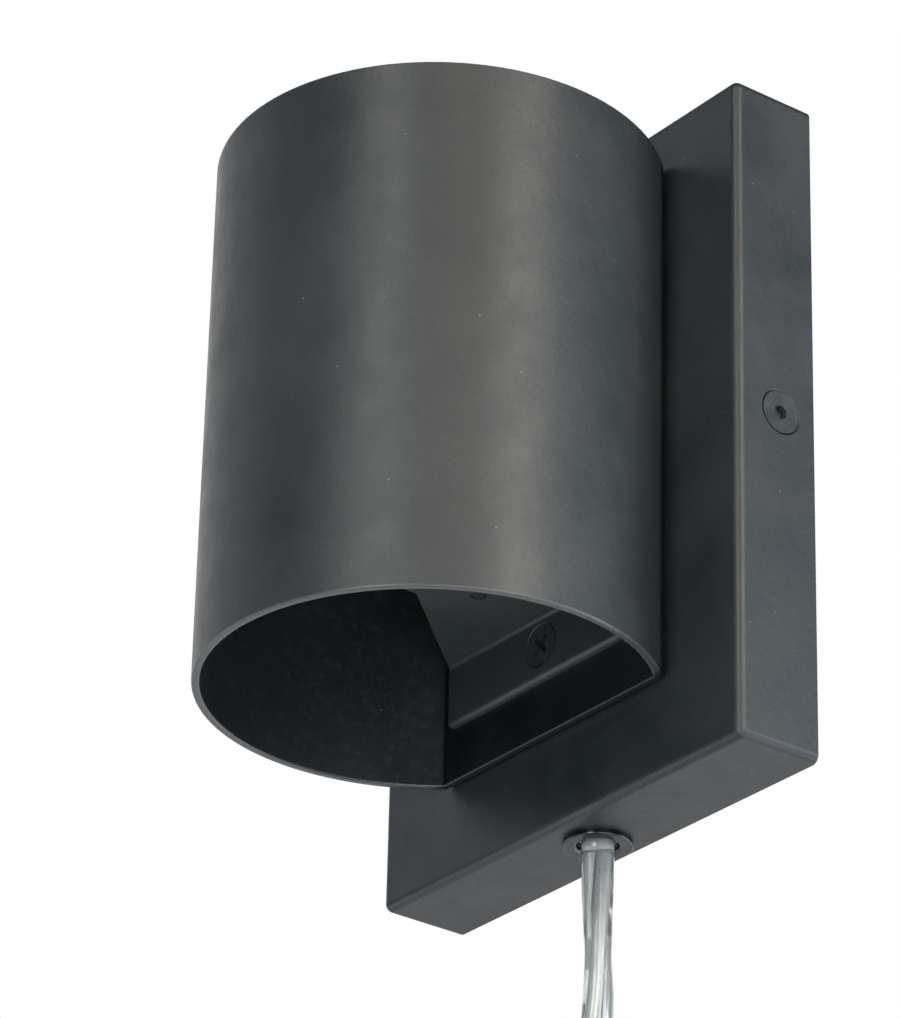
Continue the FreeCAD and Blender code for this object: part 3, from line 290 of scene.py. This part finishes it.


# On the tube the flat back inside is painted near black, a painted shade for the deep shadow it lies in, the round wall
# inside is scuffed to a faint mottle, and both cut ends are smoother and painted a lighter grey, a painted highlight
# for the light their edges catch.
tube_coat, tree, shader = powder_coat("satin black powder coat, tube", "181e21", "272b2c")
tube_low, tube_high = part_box("tube")
tube_radius = (tube_high.x - tube_low.x) / 2
tube_axis = (0, tube_low.y + tube_radius, 0)
# Depths from the tube's outside and heights from its ends, in millimetres.
thin_edge = 0.1
back_layer = 1.7
wall_layer = 0.9
round_depth = 2.5
round_edge = 0.5
rim_height = 0.3

# Painted shade: the flat back inside is darkened towards near black, where it lies in deep shadow.
back_shade_strength = 0.75
flat_back_shade = past(tree, "Y", tube_high.y / MM - back_layer, thin_edge, 0, back_shade_strength)
paint_over(tree, flat_back_shade, "000208")

place = add(tree, "ShaderNodeTexCoord").outputs["Object"]
level_place = add(tree, "ShaderNodeVectorMath", {"operation": "MULTIPLY"}, {0: place, 1: (1, 1, 0)})
off_axis = add(tree, "ShaderNodeVectorMath", {"operation": "DISTANCE"}, {0: level_place, 1: tube_axis}).outputs["Value"]
round_wall = add(tree, "ShaderNodeMapRange", None, {
    "Value": off_axis, "From Min": tube_radius - (wall_layer + thin_edge) * MM,
    "From Max": tube_radius - (wall_layer - thin_edge) * MM, "To Min": 1, "To Max": 0})
back_foot = 0.3
not_back = add(tree, "ShaderNodeMapRange", None, {"Value": flat_back_shade, "From Max": back_foot, "To Min": 1, "To Max": 0})
scuff_strength = 0.4
mottle = add(tree, "ShaderNodeMapRange", None, {
    "Value": noise(tree, 1.8, 4, 0.7), "From Min": 0.50, "From Max": 0.64, "To Max": scuff_strength})
scuffed = add(tree, "ShaderNodeMath", {"operation": "MULTIPLY"}, {0: round_wall, 1: not_back})
scuffed = add(tree, "ShaderNodeMath", {"operation": "MULTIPLY"}, {0: scuffed, 1: mottle})
paint_over(tree, scuffed, "383d3e")

low_end = past(tree, "Z", tube_low.z / MM + rim_height, thin_edge, 1, 0)
high_end = past(tree, "Z", tube_high.z / MM - rim_height, thin_edge)
round_part = past(tree, "Y", tube_high.y / MM - round_depth, round_edge, 1, 0)
ends = add(tree, "ShaderNodeMath", {"operation": "MAXIMUM"}, {0: low_end, 1: high_end})
rim_highlight = add(tree, "ShaderNodeMath", {"operation": "MULTIPLY"}, {0: ends, 1: round_part})
# Painted highlight: both cut ends are painted a lighter grey for the light that their rounded edges catch, and made
# smoother.
paint_over(tree, rim_highlight, "454848")
rim_roughness = 0.24
coat_roughness = shader.inputs["Roughness"].links[0].from_socket
roughness = add(tree, "ShaderNodeMix", {"data_type": "FLOAT"}, {0: rim_highlight, 2: coat_roughness, 3: rim_roughness})
tree.links.new(roughness.outputs[0], shader.inputs["Roughness"])
finish(tube_coat, "tube")


# --- Screws, nuts, nipple and wall bracket -----------------------------------------------------
# Turned and stamped steel. The screws that show have a smooth black paint, rubbed where a tool
# turned them, and what lies inside the box is bright zinc plate with the marks of rolling.

def metal(name, dark, light, rough, grain, stretch, depth):
    """Metal whose tone, roughness and fine relief follow a grain, drawn out along an axis by stretch."""
    material, tree, shader = start_material(name)
    lines = noise(tree, grain, 3, 0.6, stretch)
    stain = noise(tree, 6, 3)
    both = add(tree, "ShaderNodeMath", {"operation": "ADD"}, {0: lines, 1: stain})
    surface(tree, (stain, dark, light), (both, 0.7, 1.3, *rough), (lines, 0.3, depth))
    shader.inputs["Metallic"].default_value = 1
    return material


# Gives a black much like the coat round it, but smoother, with a grey shine at the worn spots.
screw_black, tree, shader = start_material("black paint on steel screws")
worn = noise(tree, 3)
surface(tree, (worn, "2a2f31", "3c4142"), (worn, 0.3, 0.7, 0.24, 0.38), (noise(tree, 0.3), 0.3, 0.02))
shader.inputs["Metallic"].default_value = 0.2
finish(screw_black, "side_screws", "tube_screw", "lampholder_screws")
# Gives a light, slightly blue metal with faint lines along the rolled strap. Lines and turning
# marks on the metals are drawn 0.2 to 0.3 mm apart, coarser than real ones, so that they show.
zinc = metal("bright zinc plate on steel", "a9adb2", "c9ccd0", (0.24, 0.42), 0.3, (8, 1, 1), 0.02)
finish(zinc, "wall_bracket", "rivet_nuts", "tube_screw_washer", "tube_screw_nut", "wire_nipple", "nipple_nuts",
       "terminal_clamp_screws", "terminal_fixing_screw", "cord_clamp_screws", "switch_screws")


# --- Cord gland ---------------------------------------------------------------------------------
# A turned brass barrel with a thin flange and a rounded mouth, plated in polished black nickel,
# and its hexagon nut inside the box.

# Gives a dark mirror with fine turning marks round it, so the mouth shows thin bright streaks.
black_nickel = metal("polished black nickel", "3b3d3f", "4a4c4e", (0.06, 0.14), 0.25, (1, 1, 6), 0.008)
finish(black_nickel, "cord_gland", "gland_nut")


# --- Lampholder and lamp ------------------------------------------------------------------------
# A glazed steatite block with spring bronze contacts holds a small capsule lamp: a ceramic foot
# with two wire loops, a frosted glass tube, and a strip of light chips inside.

def moulded(name, dark, light, rough, grain, depth):
    """Plastic or ceramic with a faint cloud in its tone and a fine relief."""
    material, tree, shader = start_material(name)
    cloud = noise(tree, 5, 2)
    surface(tree, (cloud, dark, light), (cloud, 0.3, 0.7, *rough), (noise(tree, grain, 3, 0.6), 0.4, depth))
    return material, tree, shader


# Gives a cream white glaze with soft pits and a few dark points of iron.
steatite, tree, shader = moulded("glazed steatite", "d8d3c4", "ebe7db", (0.16, 0.30), 1.2, 0.05)
paint_over(tree, specks(tree, 3, 0.12), "6b5a45")
finish(steatite, "lampholder", "lamp_base")
# Gives a warm, slightly stained brown metal.
spring_bronze = metal("spring bronze", "a5845c", "c7a678", (0.25, 0.4), 0.3, (1, 1, 6), 0.01)
finish(spring_bronze, "lampholder_contacts")
# Gives bright drawn wire and pins with fine scratches along them.
nickel = metal("nickel plate", "b3b0a9", "d3d0c8", (0.14, 0.30), 0.2, (1, 1, 10), 0.006)
finish(nickel, "lamp_pins", "plug_pins")

# Gives an even milky glass that hides its strip behind a soft blur. Its etched grain is drawn at
# 0.25 mm, coarser than the real one.
etched, tree, shader = start_material("etched glass")
cloud = noise(tree, 6)
surface(tree, (cloud, "f1f2f0", "fbfbf9"), (cloud, 0.3, 0.7, 0.42, 0.55), (noise(tree, 0.25, 3, 0.7), 0.5, 0.03))
shader.inputs["Transmission Weight"].default_value = 0.75
finish(etched, "lamp_glass")

# Gives rows of yellow phosphor squares, 2 mm apart, on a white carrier.
phosphor, tree, shader = start_material("phosphor chips on a white carrier")
place = add(tree, "ShaderNodeTexCoord").outputs["Object"]
upright = add(tree, "ShaderNodeVectorRotate", {"rotation_type": "X_AXIS"}, {"Vector": place, "Angle": math.pi / 2})
chips = add(tree, "ShaderNodeTexBrick", {"offset": 0.0}, {
    "Vector": upright, "Color1": linear("e3b843"), "Color2": linear("d9ab38"), "Mortar": linear("efece2"),
    "Scale": per_mm(2), "Mortar Size": 0.14, "Mortar Smooth": 0.2, "Brick Width": 1, "Row Height": 1})
dull = add(tree, "ShaderNodeMapRange", None, {
    "Value": noise(tree, 0.3), "From Min": 0.3, "From Max": 0.7, "To Min": 0.5, "To Max": 0.7})
raised = add(tree, "ShaderNodeBump", None, {"Height": chips.outputs["Fac"], "Strength": 0.6, "Distance": -0.1 * MM})
tree.links.new(chips.outputs["Color"], shader.inputs["Base Color"])
tree.links.new(dull.outputs[0], shader.inputs["Roughness"])
tree.links.new(raised.outputs[0], shader.inputs["Normal"])
finish(phosphor, "lamp_light_strip")


# --- Terminal block, liner and cord clamp ---------------------------------------------------------
# Moulded in white polyamide, which is a little translucent. The block has turned brass ways and
# one fixing screw, the liner keeps the wires off the nipple's edge, and the clamp's two halves
# grip the cord above the gland.

# Gives a warm white with a waxy glow at thin edges and a fine spark-eroded grain, drawn at
# 0.25 mm so that it shows.
polyamide, tree, shader = moulded("white polyamide", "dcd9cf", "e9e7e0", (0.38, 0.52), 0.25, 0.02)
shader.inputs["Subsurface Weight"].default_value = 0.15
shader.inputs["Subsurface Scale"].default_value = 0.8 * MM
finish(polyamide, "terminal_block", "nipple_liner", "cord_clamp")
# Gives turned yellow metal, a little stained.
brass = metal("turned brass", "a98b45", "cdb06a", (0.2, 0.36), 0.25, (1, 1, 5), 0.01)
finish(brass, "terminal_ways")


# --- Hand switch and plug ---------------------------------------------------------------------------
# Black moulded shells with a fine spark-eroded texture, polished by hands where they stand out.
# The rocker is smoother than the shell round it.

# Gives a soft black with a fine sparkle of grain in its highlights, drawn at 0.3 mm so that it
# shows.
black_shell = moulded("black moulded plastic, fine texture", "141517", "1e1f21", (0.40, 0.55), 0.3, 0.05)[0]
finish(black_shell, "switch_base", "switch_cover", "plug_body")
# Gives a smooth black with a sharper highlight and faint finger marks.
black_gloss = moulded("black moulded plastic, smooth", "121314", "1a1b1c", (0.16, 0.34), 2.0, 0.01)[0]
finish(black_gloss, "switch_rocker")


# --- Cord --------------------------------------------------------------------------------------
# Clear soft PVC round two stranded cores of tinned copper, which twist slowly round each other.
# It hangs from the gland, and the rest of it is wound into a coil of seven turns. Inside the box
# its end is stripped, and two sleeved leads go through the nipple to the lampholder.

def spline_points(name, controls):
    """Points along a smooth spline with these control points, given in millimetres."""
    data = bpy.data.curves.new(name, "CURVE")
    data.dimensions = "3D"
    spline = data.splines.new("NURBS")
    spline.points.add(len(controls) - 1)
    for point, place in zip(spline.points, controls):
        point.co = (*(Vector(place) * MM), 1)
    spline.order_u = 3
    spline.use_endpoint_u = True
    holder = bpy.data.objects.new(name, data)
    scene.collection.objects.link(holder)
    mesh = bpy.data.meshes.new_from_object(holder.evaluated_get(bpy.context.evaluated_depsgraph_get()))
    points = [vertex.co.copy() for vertex in mesh.vertices]
    bpy.data.objects.remove(holder)
    return points


# All in millimetres.
cord_exit = Vector((0, -7.5, -66))
coil_entry = Vector((-9.9, -7.5, -160))
coil_start_radius = 35.9
coil_pitch = 6.6
coil_axis_y = -43.4
coil_height = -160
switch_shift = 11.8
switch_top = Vector((21.7, -14.1, -165.2))
switch_bottom = Vector((21.7, -14.1, -225.2))
plug_rear = Vector((21.7, -68.1, -225.2))
sheath_end = Vector((20, -9, 24.5))

# Each row is a layer's start and end, in turns, and whether it spirals in (-1) or out (1). In the
# half turn after a layer the cord passes to the next one, and after the last one to the switch.
coil_layers = ((0, 1.5, -1), (2, 3.5, 1), (4, 5.5, -1), (6, 6.5, 1))
passing_turns = 0.5
coil_turns = 7
points_each_turn = 16


def passed(u, start):
    """How much of a pass that starts here is made after u turns, from 0 to 1 with a smooth rise."""
    share = min(max((u - start) / passing_turns, 0), 1)
    return (1 - math.cos(math.pi * share)) / 2


def coil_radius(u):
    """The coil's radius after u turns. It changes by one pitch a turn along a layer."""
    radius = coil_start_radius
    for start, end, sign in coil_layers:
        radius += sign * coil_pitch * min(max(u - start, 0), end - start)
    return radius


def coil_side(u):
    """How far to the lamp's right the coil is after u turns."""
    *to_layers, to_switch = [passed(u, end) for start, end, sign in coil_layers]
    return coil_pitch * (sum(to_layers) - len(to_layers) / 2) + switch_shift * to_switch


lead_points = [
    cord_exit,
    cord_exit + Vector((0, 0, -14)),
    cord_exit + Vector((0.6, 0.1, -31)),
    cord_exit + Vector((-1.9, -0.1, -47)),
    coil_entry + Vector((1.4, 0.1, 29)),
    coil_entry + Vector((0, 0, 17)),
    coil_entry + Vector((0, 0, 7)),
]
# A spline of this kind runs inside its control points, so they lie a little outside the turns.
bulge = 1 / math.cos(math.pi / points_each_turn)
coil_points = []
for i in range(coil_turns * points_each_turn):
    u = (i + 0.5) / points_each_turn
    angle = 2 * math.pi * u
    across = coil_radius(u) * bulge
    coil_points.append(Vector((
        coil_side(u),
        coil_axis_y + across * math.cos(angle),
        coil_height - across * math.sin(angle),
    )))
main_route = spline_points("main_route", lead_points + coil_points + [switch_top])
plug_route = spline_points("plug_route", [
    switch_bottom,
    switch_bottom + Vector((0, 0, -12.8)),
    switch_bottom + Vector((0, -8, -25.3)),
    (switch_bottom + plug_rear) / 2 + Vector((0, 0, -31.6)),
    plug_rear + Vector((0, 8, -25.3)),
    plug_rear + Vector((0, 0, -12.8)),
    plug_rear,
])
inner_route = spline_points("inner_route", [cord_exit, (0, -7.5, -37.5), (16, -8.5, -20), (20, -9, 2.5), sheath_end])
core_routes = [
    spline_points("near_core", [
        sheath_end + Vector((-1.1, 0, 0)), (18.9, -9, 36.5), (16, -9.8, 44), (7, -10.2, 44), (4, -10.3, 36.5),
        (4, -10.3, 30)]),
    spline_points("far_core", [
        sheath_end + Vector((1.1, 0, 0)), (21.1, -9, 39.5), (17, -9.6, 49), (8.5, -10, 52.5), (0, -10.3, 49),
        (-4, -10.3, 39.5), (-4, -10.3, 30)]),
]
lamp_wire_points = [
    (2.2, -38, -16.5), (2.2, -34.5, -16.5), (1.4, -28.5, -11), (1.2, -22, -10), (1.2, -11.5, -10), (2, -8, -5.5),
    (3.6, -9.6, 3.5), (4, -10.3, 13.5)]
lamp_routes = [spline_points("lamp_wire", [(side * x, y, z) for x, y, z in lamp_wire_points]) for side in (1, -1)]

# This tree draws a profile with round corners along a line, and turns it once in each turn length.
cord_tree = bpy.data.node_groups.new("cord", "GeometryNodeTree")
cord_tree.interface.new_socket("Line", in_out="INPUT", socket_type="NodeSocketGeometry")
for socket, kind, value in (
    ("Profile width", "NodeSocketFloat", 1 * MM),
    ("Profile height", "NodeSocketFloat", 1 * MM),
    ("Corner", "NodeSocketFloat", 0.5 * MM),
    ("Off centre", "NodeSocketFloat", 0.0),
    ("Corner points", "NodeSocketInt", 4),
    ("Turn length", "NodeSocketFloat", 85 * MM),
    ("Start turn", "NodeSocketFloat", 0.0),
    ("Step", "NodeSocketFloat", 1.5 * MM),
):
    cord_tree.interface.new_socket(socket, in_out="INPUT", socket_type=kind).default_value = value
cord_tree.interface.new_socket("Material", in_out="INPUT", socket_type="NodeSocketMaterial")
cord_tree.interface.new_socket("Geometry", in_out="OUTPUT", socket_type="NodeSocketGeometry")
given = add(cord_tree, "NodeGroupInput").outputs
line = add(cord_tree, "GeometryNodeMeshToCurve", None, {0: given["Line"]})
line = add(cord_tree, "GeometryNodeResampleCurve", {"mode": "LENGTH"}, {"Curve": line, "Length": given["Step"]})
along = add(cord_tree, "GeometryNodeSplineParameter").outputs["Length"]
turns = add(cord_tree, "ShaderNodeMath", {"operation": "DIVIDE"}, {0: along, 1: given["Turn length"]})
turns = add(cord_tree, "ShaderNodeMath", {"operation": "ADD"}, {0: turns, 1: given["Start turn"]})
angle = add(cord_tree, "ShaderNodeMath", {"operation": "MULTIPLY"}, {0: turns, 1: math.tau})
line = add(cord_tree, "GeometryNodeSetCurveTilt", None, {"Curve": line, "Tilt": angle})
outline = add(cord_tree, "GeometryNodeCurvePrimitiveQuadrilateral", None, {
    "Width": given["Profile width"], "Height": given["Profile height"]})
outline = add(cord_tree, "GeometryNodeFilletCurve", {"mode": "POLY"}, {
    "Curve": outline, "Radius": given["Corner"], "Limit Radius": True, "Count": given["Corner points"]})
shift = add(cord_tree, "ShaderNodeCombineXYZ", None, {"X": given["Off centre"]})
profile = add(cord_tree, "GeometryNodeTransform", None, {"Geometry": outline, "Translation": shift})
drawn = add(cord_tree, "GeometryNodeCurveToMesh", None, {"Curve": line, "Profile Curve": profile, "Fill Caps": True})
drawn = add(cord_tree, "GeometryNodeSetShadeSmooth", None, {"Geometry": drawn})
drawn = add(cord_tree, "GeometryNodeRealizeInstances", None, {"Geometry": drawn})
drawn = add(cord_tree, "GeometryNodeSetMaterial", None, {"Geometry": drawn, "Material": given["Material"]})
add(cord_tree, "NodeGroupOutput", None, {0: drawn})


def draw_along(name, lines, inputs):
    """A plain mesh that the tree draws along each of these lines."""
    mesh = bpy.data.meshes.new(name)
    vertices, edges = [], []
    for line in lines:
        first = len(vertices)
        vertices += line
        edges += [(first + i, first + i + 1) for i in range(len(line) - 1)]
    mesh.from_pydata(vertices, edges, [])
    holder = bpy.data.objects.new(name, mesh)
    scene.collection.objects.link(holder)
    modifier = holder.modifiers.new("drawn", "NODES")
    modifier.node_group = cord_tree
    for item in cord_tree.interface.items_tree:
        if item.in_out == "INPUT" and item.name in inputs:
            modifier[item.identifier] = inputs[item.name]
    bpy.context.view_layer.update()
    drawn = bpy.data.meshes.new_from_object(holder.evaluated_get(bpy.context.evaluated_depsgraph_get()))
    holder.modifiers.clear()
    holder.data = drawn
    drawn.name = name
    return holder


def round_wire(diameter, material):
    """Inputs of the tree for a round wire of this diameter in millimetres."""
    size = diameter * MM
    return {"Profile width": size, "Profile height": size, "Corner": 0.49 * size, "Material": material}


# Gives a clear skin, faintly wavy, that magnifies the strands and catches long thin highlights. Its
# colour is painted grey towards the edges that it turns to the view, as painted shade.
clear_pvc, tree, shader = start_material("clear soft PVC")
wave = noise(tree, 3)
# Painted shade: the colour greys where the skin is seen edge-on.
edge_shade_start, edge_shade_end = 0.15, 0.8
facing = add(tree, "ShaderNodeLayerWeight", None, {"Blend": 0.5}).outputs["Facing"]
edge = add(tree, "ShaderNodeMapRange", None, {"Value": facing, "From Min": edge_shade_start, "From Max": edge_shade_end})
surface(tree, (edge, "e9ecea", "8f9596"), (wave, 0.3, 0.7, 0.04, 0.12), (wave, 0.2, 0.1))
shader.inputs["IOR"].default_value = 1.5
shader.inputs["Transmission Weight"].default_value = 0.9

# Gives a cloudy grey, half clear, that stays light in the dark mouth of the gland.
cloudy_pvc, tree, shader = start_material("cloudy soft PVC")
haze = noise(tree, 1.5)
surface(tree, (haze, "b0b4b2", "d0d3d0"), (haze, 0.3, 0.7, 0.03, 0.10), (haze, 0.3, 0.1))
shader.inputs["IOR"].default_value = 1.5
shader.inputs["Transmission Weight"].default_value = 0.6
finish(cloudy_pvc, "gland_bush")

# A drop of it fills the gland's mouth round the cord and bulges a little below the flange. Each
# ring is a radius and a height over the cord's exit.
drop_rings = ((3.0, 1.4), (3.0, 0.3), (2.95, -0.4), (2.85, -0.9), (2.65, -1.3), (2.3, -1.5))
ring_points = 32
vertices, faces = [], []
for radius, height in drop_rings:
    for i in range(ring_points):
        angle = math.tau * i / ring_points
        vertices.append((cord_exit + Vector((radius * math.cos(angle), radius * math.sin(angle), height))) * MM)
for upper in range(0, len(vertices) - ring_points, ring_points):
    lower = upper + ring_points
    for i in range(ring_points):
        j = (i + 1) % ring_points
        faces.append((upper + i, lower + i, lower + j, upper + j))
faces.append(tuple(range(ring_points)))
faces.append(tuple(reversed(range(len(vertices) - ring_points, len(vertices)))))
drop_mesh = bpy.data.meshes.new("gland_drop")
drop_mesh.from_pydata(vertices, [], faces)
for face in drop_mesh.polygons:
    face.use_smooth = len(face.vertices) == 4
drop_mesh.materials.append(cloudy_pvc)
gland_drop = bpy.data.objects.new("gland_drop", drop_mesh)
scene.collection.objects.link(gland_drop)
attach(gland_drop, "fitting")

# Gives silver grey strands, with fine dark lines between them along the core. They are drawn
# 0.35 mm wide, coarser than the real 0.2 mm, so that they show.
tinned_copper, tree, shader = start_material("tinned copper strands")
strands = noise(tree, 0.35, 2, 0.6, (1, 1, 9))
surface(tree, (strands, "94989a", "b2b4b2"), (strands, 0.3, 0.7, 0.42, 0.26), (strands, 0.5, 0.08))
shader.inputs["Metallic"].default_value = 0.6

# How far round the cores are where the cord starts, in turns.
first_turn = 0.147
cord_oval = {"Profile width": 5.8 * MM, "Profile height": 4.7 * MM, "Corner": 2.3 * MM, "Corner points": 6,
             "Start turn": first_turn, "Material": clear_pvc}
core_diameter = 1.9
core_shift = 0.95 * MM
for prefix, route, length, start, hidden, far_end, lay, carried in (
    ("lead", main_route, 1.433, cord_exit, ("cord_lead", "cord_coil"), "fitting", "coiled",
     ["cord_tie", "switch_base", "switch_cover", "switch_screws", "switch_rocker"]),
    ("plug_lead", plug_route, 0.0923, switch_bottom, ("cord_bend",), "plug", "hanging", ["plug_body", "plug_pins"]),
):
    sheath = draw_along(prefix + "_sheath", [route], cord_oval)
    cores = []
    for side, name in ((1, "_core_a"), (-1, "_core_b")):
        cores.append(draw_along(prefix + name, [route], {
            **round_wire(core_diameter, tinned_copper), "Off centre": side * core_shift, "Start turn": first_turn}))
    for piece in [sheath] + cores:
        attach(piece, "fitting")
    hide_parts(*hidden)

# Gives a dull, warm off-white rubber.
silicone = moulded("heat-proof silicone sleeve", "cbc8bd", "dedbd1", (0.5, 0.65), 0.6, 0.04)[0]
for name, routes, diameter, material, slot, hidden in (
    ("inner_sheath", [inner_route], 5.1, clear_pvc, "clear_pvc", ["cord_inside"]),
    ("core_sleeves", core_routes, 1.9, clear_pvc, "clear_pvc", ["cord_cores"]),
    ("core_strands", core_routes, 1.2, tinned_copper, "clear_pvc", []),
    ("lamp_leads", lamp_routes, 1.6, silicone, "silicone_sleeve", ["lamp_wires"]),
):
    piece = draw_along(name, routes, round_wire(diameter, material))
    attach(piece, "fitting")
    if hidden:
        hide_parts(*hidden)


# --- Tie round the coil ---------------------------------------------------------------------------
# A woven hook-and-loop band, 8 mm wide, once round the bundle with its free end lapped over. It
# holds by itself, with the hooks on the inside of the lap and loops all along the outside.

# Gives a dull black cloth with a fine weave and a fuzz of loops that catches a little light.
hook_band, tree, shader = start_material("black hook-and-loop band")
place = add(tree, "ShaderNodeTexCoord").outputs["Object"]
weave = add(tree, "ShaderNodeTexVoronoi", {"feature": "SMOOTH_F1"}, {
    "Vector": place, "Scale": per_mm(0.7), "Smoothness": 0.4})
fuzz = noise(tree, 0.2, 3, 0.7)
height = add(tree, "ShaderNodeMath", {"operation": "ADD"}, {0: weave.outputs["Distance"], 1: fuzz})
surface(tree, (fuzz, "101113", "26272a"), (fuzz, 0.3, 0.7, 0.75, 0.9), (height, 0.9, 0.25))
shader.inputs["Sheen Weight"].default_value = 0.3

# The band is drawn a little thinner than its solid, and its lap lies one thickness further out.
solid_thickness = 1.0 * MM
band_thickness = 0.9 * MM
band_width = 8 * MM
band_radius = 2.0 * MM
band_edge = 0.3 * MM
band_step = 0.8 * MM
no_turn = 1000.0
# Places on the bundle's top, as shares of its half width from its middle.
band_start, lap_foot, lap_top = -0.4, -0.7, -0.5
tie_low, tie_high = (Vector(corner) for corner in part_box("cord_tie"))
tie_middle = (tie_low + tie_high) / 2
tie_half = (tie_high - tie_low) / 2 - Vector((solid_thickness / 2, 0, solid_thickness / 2))


def band_top(across, out):
    """A point on the bundle's top, at this share of its half width from its middle."""
    return tie_middle + Vector((across * tie_half.x, 0, tie_half.z + out))


def band_corner(x_sign, z_sign, out):
    """Points round one corner of the band's middle line, or of the lap that lies further out."""
    middle = tie_middle + Vector((x_sign * (tie_half.x - band_radius), 0, z_sign * (tie_half.z - band_radius)))
    first = math.atan2(z_sign, x_sign) + math.pi / 4
    steps = [first - i * math.pi / 12 for i in range(7)]
    return [middle + Vector((math.cos(step), 0, math.sin(step))) * (band_radius + out) for step in steps]


# It starts on the bundle's top, goes once round and ends lapped over at the right side.
tie_line = [band_top(band_start, 0)]
for x_sign, z_sign in ((1, 1), (1, -1), (-1, -1), (-1, 1)):
    tie_line += band_corner(x_sign, z_sign, 0)
tie_line += [band_top(lap_foot, 0), band_top(lap_top, band_thickness)]
tie_line += band_corner(1, 1, band_thickness)
tie_line.append(tie_middle + Vector((tie_half.x + band_thickness, 0, 0)))
tie_band = draw_along("tie_band", [tie_line], {
    "Profile width": band_width, "Profile height": band_thickness, "Corner": band_edge, "Turn length": no_turn,
    "Step": band_step, "Material": hook_band})
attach(tie_band, "fitting")
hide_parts("cord_tie")
